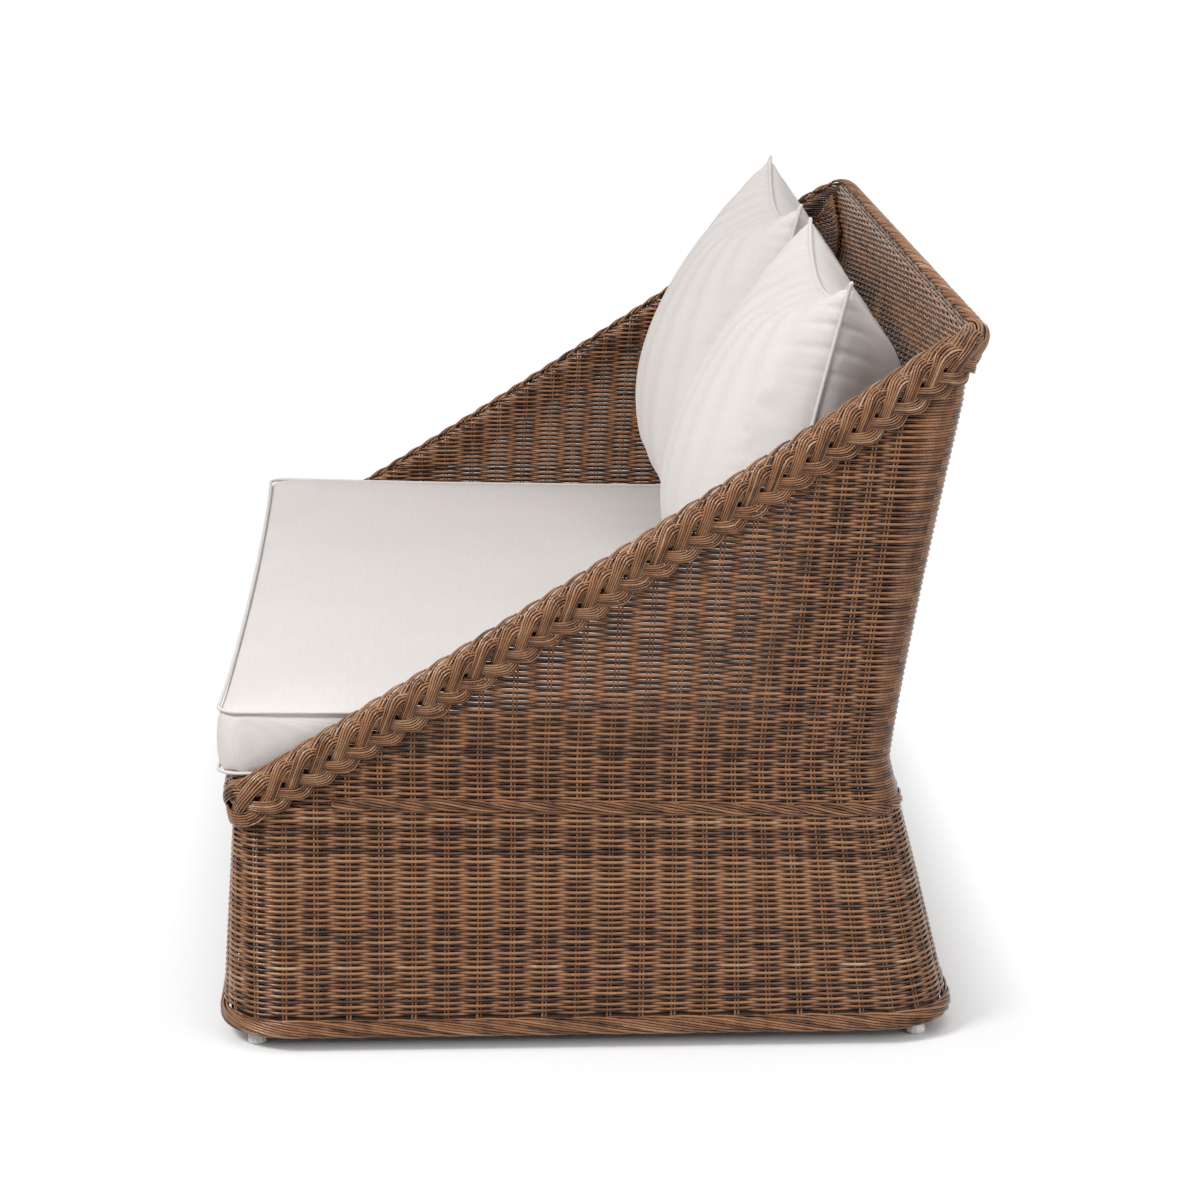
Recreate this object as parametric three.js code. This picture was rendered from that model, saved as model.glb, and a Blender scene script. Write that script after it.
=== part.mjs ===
// Two-seat rattan garden sofa: a woven tub body that flares to the floor and to the rim, with a plaited
// rim, a boxed seat cushion and two knife-edge back pillows.
// Millimetres, +Z up, the front faces -Y, +X runs along the seat. The origin is on the floor, under the
// middle.
import * as THREE from 'three';

// Driving sizes of the whole sofa
const overallWidth = 1410;
const overallDepth = 849;
const backHeight = 811;
const seatWaleHeight = 286;
const seatFall = 17;
const frontRimRise = 19;
const waistRise = 32;

// Clearances
const seatGap = 0.3;
const softGap = 0.6;
const postGap = 3;

// Woven wall: the outer face in plan at the floor, at the seat, at the waist and at the rim
const wallThickness = 9;
const borderProud = 3;
const sideWaistTuck = 18;
const frontLean = 20;
const backWaistTuck = 87;
const backFloorTuck = 6;
const backFlarePower = 1.15;
const frontFloorRadius = 90;
const frontSeatRadius = 35;
const backFloorRadius = 95;
const backWaistRadius = 45;
const lowestUpperWall = 6;

// Stakes: the weavers stand out over each of them, on both faces, and draw in between two of them. Up the
// side walls they gather towards the back, and over the waist they lean out with the wall.
const sideStakes = 22;
const endStakes = 38;
const weaveHollow = 2.4;
const stakeGather = 0.4;
const stakeLeanShare = 0.62;
const stakeFreeShare = 0.01;

// Plaited rim: three flat bundles of canes over a rim rail
const rimRailRadius = 7;
const plaitRailGap = 2.3;
const plaitWallGap = 1;
const bundleWidth = 14.5;
const bundleThickness = 3;
const bundleLift = 2.7;
const plaitLength = 114;
const plaitSwing = 18;
const plaitInnerAngle = THREE.MathUtils.degToRad(100);
const bundleCount = 3;
const swingSharpness = 0.93;
const liftSharpness = 2.1;

// Arm line: how the rim rail leaves the front corner, sags and reaches the back corner
const armFrontRise = 18;
const armBackDrop = 21.6;
const armSag = 7;

// Poles of the frame
const postRadius = 15;
const railRadius = 13;
const bearerRadius = 9;
const braceRadius = 9;
const poleSides = 8;

// Feet and bottom border
const glideHeight = 15;
const glideRadius = 11;
const glideStemRadius = 8;
const glideRim = 3;
const borderHeight = 26;
const borderScallop = 2;
const bandRoundShare = 0.25;

// Seat-level wale on the outside of the walls
const waleHeight = 12;
const waleProud = 5;
const waleSetback = 105;

// Seat deck and cushions
const deckThickness = 8;
const deckSideClearance = 14;
const deckBackRadius = 88;
const cushionSideClearance = 15;
const cushionThickness = 70;
const cushionCrown = 12;
const cushionBulge = 4;
const cushionDrawIn = 5;
const cushionOverhang = 8;
const cushionBackClearance = 5;
const cushionFrontRadius = 28;
const cushionBackRadius = 98;
const cushionCrownRunShare = 0.25;
const cushionCrownShares = [0, 0.12, 0.35, 0.65, 1];
const innerCornerShare = 0.25;
const innerCornerGrowthShare = 0.3;
const pillowSideClearance = 104;
const pillowHeight = 486;
const pillowThickness = 250;
const pillowGap = 22;
const pillowLean = THREE.MathUtils.degToRad(16);
const pillowTopSagShare = 0.13;
const pillowSideSagShare = 0.07;
const pillowEdge = 5;
const pillowFullnessPower = 0.62;

// How finely each form is divided
const cornerSteps = 3;
const straightSteps = 8;
const upperRows = 4;
const glideSides = 12;
const deckCornerSides = 4;
const rimCornerSteps = 12;
const rimStraightSteps = 60;
const plaitStepsPerLength = 9;
const cushionCornerSides = 4;
const cushionSideSides = 5;
const pillowGridSteps = 13;
const placeProbeShare = 0.001;
const stationProbeShare = 0.25;
const settlePasses = 12;

// Derived places
const frontRimHeight = seatWaleHeight + frontRimRise;
const waistHeight = seatWaleHeight + waistRise;
const floorHalfWidth = overallWidth / 2 - borderProud;
const floorFront = borderProud - overallDepth / 2;
const plaitRadius = rimRailRadius + plaitRailGap + bundleLift + bundleThickness / 2;
const plaitReach = plaitRadius + bundleLift + bundleThickness / 2;
const rimInset = plaitRadius - bundleLift - bundleThickness / 2 - plaitWallGap;
const backRimRailHeight = backHeight - plaitReach;
const frontRimRailHeight = frontRimHeight - plaitReach;
const rimBack = overallDepth / 2 - plaitReach + rimInset;
const waistBack = rimBack - backWaistTuck;
const floorBack = rimBack - backFloorTuck;
const waistHalfWidth = floorHalfWidth - sideWaistTuck;
const rimHalfWidth = overallWidth / 2 - plaitReach + rimInset;
const cushionHalfWidth = waistHalfWidth - wallThickness - cushionSideClearance;
const pillowWidth = waistHalfWidth - wallThickness - pillowSideClearance - pillowGap / 2;
const borderTop = glideHeight + borderHeight;
const ringHeight = glideHeight + railRadius;
const right = 1;
const left = -1;
const sides = [['right', right], ['left', left]];

const mix = THREE.MathUtils.lerp;

// Half width of the walls' outer face at a height: in to the waist, out again to the rim
function halfWidthAt(z) {
  if (z < waistHeight) return mix(floorHalfWidth, waistHalfWidth, z / waistHeight);
  return mix(waistHalfWidth, rimHalfWidth, (z - waistHeight) / (backRimRailHeight - waistHeight));
}

function frontFaceAt(z) {
  return floorFront + frontLean * Math.min(z / seatWaleHeight, 1);
}

function backFaceAt(z) {
  if (z < waistHeight) return mix(floorBack, waistBack, z / waistHeight);
  const share = (z - waistHeight) / (backRimRailHeight - waistHeight);
  return mix(waistBack, rimBack, share ** backFlarePower);
}

function frontRadiusAt(z) {
  return mix(frontFloorRadius, frontSeatRadius, Math.min(z / seatWaleHeight, 1));
}

function backRadiusAt(z) {
  return mix(backFloorRadius, backWaistRadius, Math.min(z / waistHeight, 1));
}

// The seat falls a little from front to back, and so does the wale round it
const seatFront = frontFaceAt(seatWaleHeight);
const seatTilt = Math.atan(seatFall / (waistBack - seatFront));

function seatLevelAt(y) {
  return seatWaleHeight - Math.tan(seatTilt) * (y - seatFront);
}

// Points of the wall, inset from its outer face: corners by angle in plan, straights by share
function frontCornerPoint(z, angle, inset) {
  const radius = frontRadiusAt(z) - inset;
  return new THREE.Vector3(
    halfWidthAt(z) - frontRadiusAt(z) + radius * Math.cos(angle),
    frontFaceAt(z) + frontRadiusAt(z) + radius * Math.sin(angle),
    z);
}

function backCornerPoint(z, angle, inset) {
  const radius = backRadiusAt(z) - inset;
  return new THREE.Vector3(
    halfWidthAt(z) - backRadiusAt(z) + radius * Math.cos(angle),
    backFaceAt(z) - backRadiusAt(z) + radius * Math.sin(angle),
    z);
}

function mirrored(point) {
  return new THREE.Vector3(-point.x, point.y, point.z);
}

function shares(count) {
  return Array.from({ length: count + 1 }, (_, index) => index / count);
}

// A curve's height between two ends with given slopes
function easedHeight(startHeight, endHeight, startSlope, endSlope, run, share) {
  const s2 = share * share;
  const s3 = s2 * share;
  const startShare = 1 - 3 * s2 + 2 * s3;
  const endShare = 3 * s2 - 2 * s3;
  return startShare * startHeight + endShare * endHeight
    + run * ((s3 - 2 * s2 + share) * startSlope + (s3 - s2) * endSlope);
}

// Arm rail: a nearly straight line with a small sag between the two corners
const armFrontZ = frontRimRailHeight + armFrontRise;
const armBackZ = backRimRailHeight - armBackDrop;
const armFrontY = frontFaceAt(armFrontZ) + frontRadiusAt(armFrontZ);
const armBackY = backFaceAt(armBackZ) - backRadiusAt(armBackZ);

function armRailHeightAt(y) {
  const share = (y - armFrontY) / (armBackY - armFrontY);
  return mix(armFrontZ, armBackZ, share) - 4 * armSag * share * (1 - share);
}

const armRun = armBackY - armFrontY;
const armFrontSlope = (armBackZ - armFrontZ - 4 * armSag) / armRun;
const armBackSlope = (armBackZ - armFrontZ + 4 * armSag) / armRun;

function frontCornerRimHeight(angle) {
  const share = (angle + Math.PI / 2) / (Math.PI / 2);
  const run = (frontSeatRadius - rimInset) * Math.PI / 2;
  return easedHeight(frontRimRailHeight, armFrontZ, 0, armFrontSlope, run, share);
}

function backCornerRimHeight(angle) {
  const share = angle / (Math.PI / 2);
  const run = (backWaistRadius - rimInset) * Math.PI / 2;
  return easedHeight(armBackZ, backRimRailHeight, armBackSlope, 0, run, share);
}

// Wall columns: lines up the wall's surface, like its stakes. Each gives a point by height and inset, the
// height of the rim rail on it, and its own direction across the rail, as long as carries one unit away from
// the rail.
function wallColumn(lineAt, rimHeightAt, place) {
  const at = (z, inset) => lineAt(place, z, inset);
  const rimHeight = rimHeightAt(place);
  const centre = at(rimHeight, rimInset);
  const further = place + placeProbeShare;
  const along = lineAt(further, rimHeightAt(further), rimInset).sub(centre).normalize();
  const inwards = at(rimHeight, rimInset + rimRailRadius).sub(centre).normalize();
  const across = centre.clone().sub(at(rimHeight - rimRailRadius, rimInset));
  across.addScaledVector(inwards, -across.dot(inwards)).normalize();
  across.divideScalar(across.clone().cross(along).length());
  return { at, rimHeight, across };
}

function frontCornerColumn(angle) {
  return wallColumn((place, z, inset) => frontCornerPoint(z, place, inset), frontCornerRimHeight, angle);
}

function backCornerColumn(angle) {
  return wallColumn((place, z, inset) => backCornerPoint(z, place, inset), backCornerRimHeight, angle);
}

// Straights of the walls: a line up each by its share of the straight, and the height of its rim rail
const sideStraight = {
  lineAt: (place, z, inset) => frontCornerPoint(z, 0, inset).lerp(backCornerPoint(z, 0, inset), place),
  rimHeightOf: lineAt => place => {
    let height = mix(armFrontZ, armBackZ, place);
    for (let pass = 0; pass < settlePasses; pass++) height = armRailHeightAt(lineAt(place, height, 0).y);
    return height;
  },
  startRadiusAt: frontRadiusAt,
  endRadiusAt: backRadiusAt,
  lengthAt: z => backCornerPoint(z, 0, 0).y - frontCornerPoint(z, 0, 0).y,
};
const frontStraight = {
  lineAt: (place, z, inset) => {
    const end = frontCornerPoint(z, -Math.PI / 2, inset);
    return mirrored(end).lerp(end, place);
  },
  rimHeightOf: () => () => frontRimRailHeight,
  startRadiusAt: frontRadiusAt,
  endRadiusAt: frontRadiusAt,
  lengthAt: z => 2 * frontCornerPoint(z, -Math.PI / 2, 0).x,
};
const backStraight = {
  lineAt: (place, z, inset) => {
    const end = backCornerPoint(z, Math.PI / 2, inset);
    return mirrored(end).lerp(end, place);
  },
  rimHeightOf: () => () => backRimRailHeight,
  startRadiusAt: backRadiusAt,
  endRadiusAt: backRadiusAt,
  lengthAt: z => 2 * backCornerPoint(z, Math.PI / 2, 0).x,
};

function straightColumn({ lineAt, rimHeightOf }, share) {
  return wallColumn(lineAt, rimHeightOf(lineAt), share);
}

function plainColumns(straight, count) {
  return shares(count).map(share => straightColumn(straight, share));
}

function mirroredColumn({ at, rimHeight, across, hollow }) {
  return { at: (z, inset) => mirrored(at(z, inset)), rimHeight, across: mirrored(across), hollow };
}

// How far along a wall's straight a stake stands at a height, as a share of it: the wall is measured from
// the middle of one corner, round to the middle of the next
function stakeShareAt({ startRadiusAt, endRadiusAt, lengthAt }, place, z, gather) {
  const wallLengthAt = height => (
    (startRadiusAt(height) + endRadiusAt(height)) * Math.PI / 4 + lengthAt(height));
  const length = wallLengthAt(z);
  const waistLength = wallLengthAt(waistHeight);
  const gathered = place + gather * place ** 2 * (1 - place);
  const leaning = 1 + stakeLeanShare * (length - waistLength) / waistLength;
  const below = length * mix(place, gathered, z / waistHeight);
  const above = gather > 0 ? waistLength * gathered * leaning : length * place;
  return ((z < waistHeight ? below : above) - startRadiusAt(z) * Math.PI / 4) / lengthAt(z);
}

// Columns along a straight, one at each stake and a hollow one between two, with plain ones at its ends
function wovenColumns(straight, count, gather) {
  const shareAt = (place, z) => stakeShareAt(straight, place, z, gather);
  const lineAt = (place, z, inset) => straight.lineAt(shareAt(place, z), z, inset);
  const isOnStraight = place => [0, waistHeight, backRimRailHeight].every(z => (
    Math.abs(shareAt(place, z) - 1 / 2) < 1 / 2 - stakeFreeShare));
  const staked = shares(2 * count).map((place, index) => {
    const hollow = index % 2 === 0 ? weaveHollow : 0;
    return isOnStraight(place) && { ...wallColumn(lineAt, straight.rimHeightOf(lineAt), place), hollow };
  });
  return [straightColumn(straight, 0), ...staked.filter(Boolean), straightColumn(straight, 1)];
}

// Pieces of two sides meet in the middle of a corner with the seating gap between them
const cornerMiddleShift = seatGap / 2 / frontSeatRadius;
const sideCornerEnd = Math.PI / 4 - cornerMiddleShift;
const endCornerStart = Math.PI / 4 + cornerMiddleShift;

// Columns from the middle of one corner to the middle of the next, going round the sofa as its plait does
function rightSide(cornerCount, straight) {
  return [
    ...shares(cornerCount).slice(0, -1).map(share => frontCornerColumn(mix(-sideCornerEnd, 0, share))),
    ...straight,
    ...shares(cornerCount).slice(1).map(share => backCornerColumn(mix(0, sideCornerEnd, share))),
  ];
}

function leftSide(cornerCount, straight) {
  return rightSide(cornerCount, straight).map(mirroredColumn).reverse();
}

function frontSide(cornerCount, straight) {
  const corner = shares(cornerCount).slice(1)
    .map(share => frontCornerColumn(mix(-Math.PI / 2, -endCornerStart, share)));
  return [
    ...corner.map(mirroredColumn).reverse(),
    ...straight,
    ...corner,
  ];
}

function backSide(cornerCount, straight) {
  const corner = shares(cornerCount).slice(1)
    .map(share => backCornerColumn(mix(Math.PI / 2, endCornerStart, share)));
  return [
    ...corner.slice().reverse(),
    ...straight.slice().reverse(),
    ...corner.map(mirroredColumn),
  ];
}

const rightSideColumns = rightSide(cornerSteps, plainColumns(sideStraight, straightSteps));
const leftSideColumns = leftSide(cornerSteps, plainColumns(sideStraight, straightSteps));
const frontColumns = frontSide(cornerSteps, plainColumns(frontStraight, straightSteps / 2));
const backColumns = backSide(cornerSteps, plainColumns(backStraight, straightSteps / 2));

const wovenRight = rightSide(cornerSteps, wovenColumns(sideStraight, sideStakes, stakeGather));
const wovenLeft = leftSide(cornerSteps, wovenColumns(sideStraight, sideStakes, stakeGather));
const wovenFront = frontSide(cornerSteps, wovenColumns(frontStraight, endStakes, 0));
const wovenBack = backSide(cornerSteps, wovenColumns(backStraight, endStakes, 0));

// A closed body through rings of points, each an even number of them. Each facet between two rings is split
// along its shorter diagonal, so a thin twisted body keeps its thickness. The end caps run across from one
// half of the ring to the other, so a bent end keeps its bend.
function loft(rings) {
  const points = rings.flat();
  const positions = points.flatMap(point => point.toArray());
  const count = rings[0].length;
  const index = [];
  for (let ring = 0; ring + 1 < rings.length; ring++) {
    for (let k = 0; k < count; k++) {
      const a = ring * count + k;
      const b = ring * count + (k + 1) % count;
      const [c, d] = [b + count, a + count];
      if (points[a].distanceTo(points[c]) <= points[b].distanceTo(points[d])) index.push(a, b, c, a, c, d);
      else index.push(a, b, d, b, c, d);
    }
  }
  const lastRing = (rings.length - 1) * count;
  for (let k = 0; 2 * k + 2 < count; k++) {
    const [a, b, c, d] = [k, k + 1, count - 2 - k, count - 1 - k];
    index.push(a, c, b, a, d, c);
    index.push(lastRing + a, lastRing + b, lastRing + c, lastRing + a, lastRing + c, lastRing + d);
  }
  return closedGeometry(positions, index);
}

// An indexed geometry whose faces are turned outwards
function closedGeometry(positions, index) {
  let sixVolumes = 0;
  const corner = k => new THREE.Vector3().fromArray(positions, 3 * index[k]);
  for (let k = 0; k < index.length; k += 3) sixVolumes += corner(k).cross(corner(k + 1)).dot(corner(k + 2));
  if (sixVolumes < 0) {
    for (let k = 0; k < index.length; k += 3) [index[k], index[k + 1]] = [index[k + 1], index[k]];
  }
  const geometry = new THREE.BufferGeometry();
  geometry.setAttribute('position', new THREE.Float32BufferAttribute(positions, 3));
  geometry.setIndex(index);
  geometry.computeVertexNormals();
  return geometry;
}

// Heights of a wall's rows, with one at the waist where the wall turns
function rowHeights(bottom, top, rows) {
  const turn = Math.min(waistHeight, mix(bottom, top, 1 / rows));
  return [bottom, ...shares(rows - 1).map(share => mix(turn, top, share))];
}

// A wall panel: each column is a section, up the outer face and down the inner one
function wallPanel(columns, heightsOf) {
  return loft(columns.map(column => {
    const heights = heightsOf(column);
    const hollow = column.hollow ?? 0;
    return [
      ...heights.map(z => column.at(z, hollow)),
      ...heights.reverse().map(z => column.at(z, wallThickness - hollow)),
    ];
  }));
}

// A band that lies on the outer face, from one height to another, with a rounded outside
function bandSection(column, bottom, top, innerInset, outerProud) {
  return [
    column.at(bottom, innerInset),
    column.at(bottom, -outerProud * bandRoundShare),
    column.at(mix(bottom, top, bandRoundShare), -outerProud),
    column.at(mix(top, bottom, bandRoundShare), -outerProud),
    column.at(top, -outerProud * bandRoundShare),
    column.at(top, innerInset),
  ];
}

// A circle of points, given by their two offsets from the middle
function circleOffsets(radius) {
  return shares(poleSides).slice(1).map(share => [
    radius * Math.cos(2 * Math.PI * share), radius * Math.sin(2 * Math.PI * share)]);
}

// A straight round pole between two points
function pole(start, end, radius) {
  const section = new THREE.Shape(circleOffsets(radius).map(([x, y]) => new THREE.Vector2(x, y)));
  const path = new THREE.LineCurve3(start, end);
  return new THREE.ExtrudeGeometry(section, { steps: 1, bevelEnabled: false, extrudePath: path });
}

// A bent pole that follows the wall at an inset, through all its columns, round across the given direction
function poleBehindWall(columns, heightOf, acrossOf, inset, radius) {
  return loft(columns.map(column => circleOffsets(radius).map(([inwards, upwards]) => (
    column.at(heightOf(column), inset + inwards).addScaledVector(acrossOf(column), upwards)))));
}

// Materials
const materials = {
  cane: new THREE.MeshStandardMaterial({ color: 0x8a6142, roughness: 0.55, metalness: 0 }),
  pole: new THREE.MeshStandardMaterial({ color: 0x7a5235, roughness: 0.6, metalness: 0 }),
  canvas: new THREE.MeshStandardMaterial({ color: 0xece8e2, roughness: 0.9, metalness: 0 }),
  glide: new THREE.MeshStandardMaterial({ color: 0xe6e6e4, roughness: 0.4, metalness: 0 }),
};

const sofa = new THREE.Group();

function addPiece(name, geometry, material, parent = sofa) {
  const piece = new THREE.Mesh(geometry, material);
  piece.name = name;
  parent.add(piece);
  return piece;
}

// Woven skirt, from the bottom border up to the wale, or to the rim rail where that is lower
function rimUnderside(column) {
  return column.rimHeight - (rimRailRadius + seatGap) * column.across.z;
}

function waleHeightOf(column) {
  return seatLevelAt(column.at(seatWaleHeight, 0).y);
}

function skirtTop(column) {
  return Math.min(waleHeightOf(column) - seatGap / 2, rimUnderside(column));
}

const skirtHeights = column => [borderTop + seatGap, skirtTop(column)];

addPiece('skirt_front', wallPanel(wovenFront, skirtHeights), materials.cane);
addPiece('skirt_back', wallPanel(wovenBack, skirtHeights), materials.cane);
addPiece('skirt_right', wallPanel(wovenRight, skirtHeights), materials.cane);
addPiece('skirt_left', wallPanel(wovenLeft, skirtHeights), materials.cane);

// Woven upper walls, from the wale up to the rim rail
const upperBottom = column => waleHeightOf(column) + seatGap / 2;

function upperWall(columns) {
  const highEnough = columns.filter(column => rimUnderside(column) - upperBottom(column) > lowestUpperWall);
  return wallPanel(highEnough, column => rowHeights(upperBottom(column), rimUnderside(column), upperRows));
}

addPiece('back_wall', upperWall(wovenBack), materials.cane);
addPiece('right_wall', upperWall(wovenRight), materials.cane);
addPiece('left_wall', upperWall(wovenLeft), materials.cane);

// Twisted wale over the joint of skirt and upper wall
function wale(columns) {
  return loft(columns.map(column => {
    const middle = waleHeightOf(column);
    return bandSection(column, middle - waleHeight / 2, middle + waleHeight / 2, -seatGap, waleProud);
  }));
}

const waleFrontY = seatFront + waleSetback;
const waleColumns = columns => columns.filter(column => column.at(seatWaleHeight, 0).y > waleFrontY);
addPiece('wale_back', wale(backColumns), materials.cane);
addPiece('wale_right', wale(waleColumns(rightSideColumns)), materials.cane);
addPiece('wale_left', wale(waleColumns(leftSideColumns)), materials.cane);

// Thick bottom border round the foot of the skirt
function bottomBorder(columns) {
  const foot = column => ({ at: (z, inset) => column.at(inset > 0 ? z : 0, inset).setZ(z) });
  return loft(columns.map((column, index) => {
    const drop = index % 2 === 0 ? borderScallop : 0;
    return bandSection(foot(column), glideHeight - drop, borderTop, wallThickness, borderProud);
  }));
}

addPiece('border_front', bottomBorder(frontColumns), materials.cane);
addPiece('border_back', bottomBorder(backColumns), materials.cane);
addPiece('border_right', bottomBorder(rightSideColumns), materials.cane);
addPiece('border_left', bottomBorder(leftSideColumns), materials.cane);

// Bottom ring: bent poles inside the border, one behind each side, met at the corners
const ringInset = wallThickness + seatGap + railRadius;
const upright = new THREE.Vector3(0, 0, 1);
const ringRail = columns => poleBehindWall(columns, () => ringHeight, () => upright, ringInset, railRadius);

addPiece('ring_front', ringRail(frontColumns), materials.pole);
addPiece('ring_back', ringRail(backColumns), materials.pole);
addPiece('ring_right', ringRail(rightSideColumns), materials.pole);
addPiece('ring_left', ringRail(leftSideColumns), materials.pole);

// Rim rails under the plait
const rimRail = columns => poleBehindWall(
  columns, column => column.rimHeight, column => column.across, rimInset, rimRailRadius);

addPiece('rim_rail_front', rimRail(frontColumns), materials.pole);
addPiece('rim_rail_back', rimRail(backColumns), materials.pole);
addPiece('arm_rail_right', rimRail(rightSideColumns), materials.pole);
addPiece('arm_rail_left', rimRail(leftSideColumns), materials.pole);

// Corner posts: the front ones carry the seat frame, the back ones follow the wall's curve up to the rim
const postInset = wallThickness + postRadius + postGap;
const postBottom = ringHeight + railRadius + seatGap;
const backPostTop = rimUnderside(backCornerColumn(Math.PI / 8));
const frontPostAt = z => frontCornerPoint(z, -Math.PI / 4, postInset);
const backPostAt = z => backCornerPoint(z, Math.PI / 4, postInset);
const frontPostTop = seatLevelAt(frontPostAt(seatWaleHeight).y + postRadius) - railRadius - seatGap;

function bentPost(centreAt, heights) {
  return loft(heights.map(z => circleOffsets(postRadius).map(
    ([x, y]) => centreAt(z).add(new THREE.Vector3(x, y, 0)))));
}

for (const [name, side] of sides) {
  const facing = centreAt => (side === right ? centreAt : z => mirrored(centreAt(z)));
  addPiece(`front_post_${name}`, bentPost(facing(frontPostAt), [postBottom, frontPostTop]), materials.pole);
  addPiece(`back_post_${name}`, bentPost(
    facing(backPostAt), [postBottom, ...rowHeights(waistHeight, backPostTop, upperRows)]), materials.pole);
}

// Seat frame: four rails at the level of the wale and three bearers between the front and the back rail
const seatTop = seatWaleHeight + railRadius;
const frontRailY = seatFront + rimInset + rimRailRadius + seatGap + railRadius;
const frontRailEnd = halfWidthAt(seatWaleHeight) - frontSeatRadius - railRadius;
const backPostSeat = backPostAt(seatLevelAt(waistBack) + railRadius);
const backRailY = backPostSeat.y;
const backRailEnd = backPostSeat.x - postRadius - seatGap;
const sideRailX = backPostSeat.x;
const sideRailFront = frontRailY + railRadius + seatGap;
const sideRailBack = backPostSeat.y - postRadius - seatGap - railRadius * Math.tan(seatTilt);
const seatPoint = (x, y, drop) => new THREE.Vector3(x, y, seatLevelAt(y) - drop);

const seatRails = [
  ['front', seatPoint(-frontRailEnd, frontRailY, 0), seatPoint(frontRailEnd, frontRailY, 0)],
  ['back', seatPoint(-backRailEnd, backRailY, 0), seatPoint(backRailEnd, backRailY, 0)],
  ['right', seatPoint(sideRailX, sideRailFront, 0), seatPoint(sideRailX, sideRailBack, 0)],
  ['left', seatPoint(-sideRailX, sideRailFront, 0), seatPoint(-sideRailX, sideRailBack, 0)],
];
for (const [name, start, end] of seatRails) {
  addPiece(`seat_rail_${name}`, pole(start, end, railRadius), materials.pole);
}

const bearerDrop = railRadius - bearerRadius;
const bearerBack = backRailY - railRadius - seatGap;
const bearerPlaces = [['right', sideRailX / 2], ['middle', 0], ['left', -sideRailX / 2]];
for (const [name, x] of bearerPlaces) {
  const start = seatPoint(x, sideRailFront, bearerDrop);
  const end = seatPoint(x, bearerBack, bearerDrop);
  addPiece(`seat_bearer_${name}`, pole(start, end, bearerRadius), materials.pole);
}

// A round pole between two crosswise poles: each end is cut level at the crown of the pole that it meets
function standingPole(foot, head, radius) {
  return loft([foot, head].map(middle => circleOffsets(radius).map(
    ([x, y]) => middle.clone().add(new THREE.Vector3(x, y, 0)))));
}

// Middle posts stand on the ring and carry the middle of the front and the back seat rail
const middleFrontFoot = new THREE.Vector3(0, frontFaceAt(postBottom) + ringInset, postBottom);
const underFrontRail = seatLevelAt(frontRailY) - railRadius - seatGap;
const middleFrontHead = new THREE.Vector3(0, frontRailY, underFrontRail);
addPiece('middle_post_front', standingPole(middleFrontFoot, middleFrontHead, braceRadius), materials.pole);
const underBackRail = seatLevelAt(backRailY) - railRadius - seatGap;
const middleBackFoot = new THREE.Vector3(0, backFaceAt(postBottom) - ringInset, postBottom);
const middleBackHead = new THREE.Vector3(0, backRailY, underBackRail);
addPiece('middle_post_back', standingPole(middleBackFoot, middleBackHead, braceRadius), materials.pole);

// Glides under the ring at the corners and under the middle of the front and the back
function glideGeometry() {
  const turned = new THREE.LatheGeometry([
    new THREE.Vector2(0, 0),
    new THREE.Vector2(glideRadius - glideRim, 0),
    new THREE.Vector2(glideRadius, glideRim),
    new THREE.Vector2(glideRadius, 2 * glideRim),
    new THREE.Vector2(glideStemRadius, glideHeight - seatGap),
    new THREE.Vector2(0, glideHeight - seatGap),
  ], glideSides);
  return turned.rotateX(Math.PI / 2);
}

const ringCorner = (cornerPoint, angle) => cornerPoint(ringHeight, angle, ringInset);
const frontGlide = ringCorner(frontCornerPoint, -Math.PI / 4);
const backGlide = ringCorner(backCornerPoint, Math.PI / 4);
const glidePlaces = [
  ['front_right', frontGlide], ['front_left', mirrored(frontGlide)],
  ['back_right', backGlide], ['back_left', mirrored(backGlide)],
  ['front_middle', middleFrontFoot], ['back_middle', middleBackFoot],
];
for (const [name, place] of glidePlaces) {
  addPiece(`glide_${name}`, glideGeometry(), materials.glide).position.set(place.x, place.y, 0);
}

// Everything on the seat lies on its tilt: a group at the deck's underside, at the front of the seat
const seatPlane = new THREE.Group();
seatPlane.position.set(0, seatFront, seatTop + seatGap);
seatPlane.rotation.x = -seatTilt;
sofa.add(seatPlane);

// Seat deck: a woven panel on the rails, cut round the back posts
const deckFrontStart = frontRailY - railRadius - seatFront;
const deckBackEnd = backRailY + railRadius - seatFront;
const deckHalfWidth = halfWidthAt(seatWaleHeight) - wallThickness - deckSideClearance;

function roundedPlan(halfWidth, front, back, frontRadius, backRadius, cornerSides) {
  const corners = [
    [halfWidth - backRadius, back - backRadius, backRadius, 0],
    [-halfWidth + backRadius, back - backRadius, backRadius, 1],
    [-halfWidth + frontRadius, front + frontRadius, frontRadius, 2],
    [halfWidth - frontRadius, front + frontRadius, frontRadius, 3],
  ];
  return corners.flatMap(([x, y, radius, quarter]) => shares(cornerSides).map(share => {
    const angle = (quarter + share) * Math.PI / 2;
    return new THREE.Vector2(x + radius * Math.cos(angle), y + radius * Math.sin(angle));
  }));
}

const deckPlan = roundedPlan(
  deckHalfWidth, deckFrontStart, deckBackEnd, railRadius, deckBackRadius, deckCornerSides);
addPiece('seat_deck', new THREE.ExtrudeGeometry(
  new THREE.Shape(deckPlan), { depth: deckThickness, bevelEnabled: false }), materials.cane, seatPlane);

// Plaited rim. Three flat bundles swing from edge to edge over the rim rail and dive under each other, a
// third of a plait length apart. The plait's own surface wraps the rail from its inner top and hangs down
// the wall outside.
const bundleSlope = 4 * plaitSwing / plaitLength;
const bundleSpan = bundleWidth * Math.hypot(1, bundleSlope);
const plaitMiddle = plaitSwing + bundleSpan / 2;
const wrapLength = plaitRadius * plaitInnerAngle;
const plaitHang = 2 * plaitMiddle - wrapLength;

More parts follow.
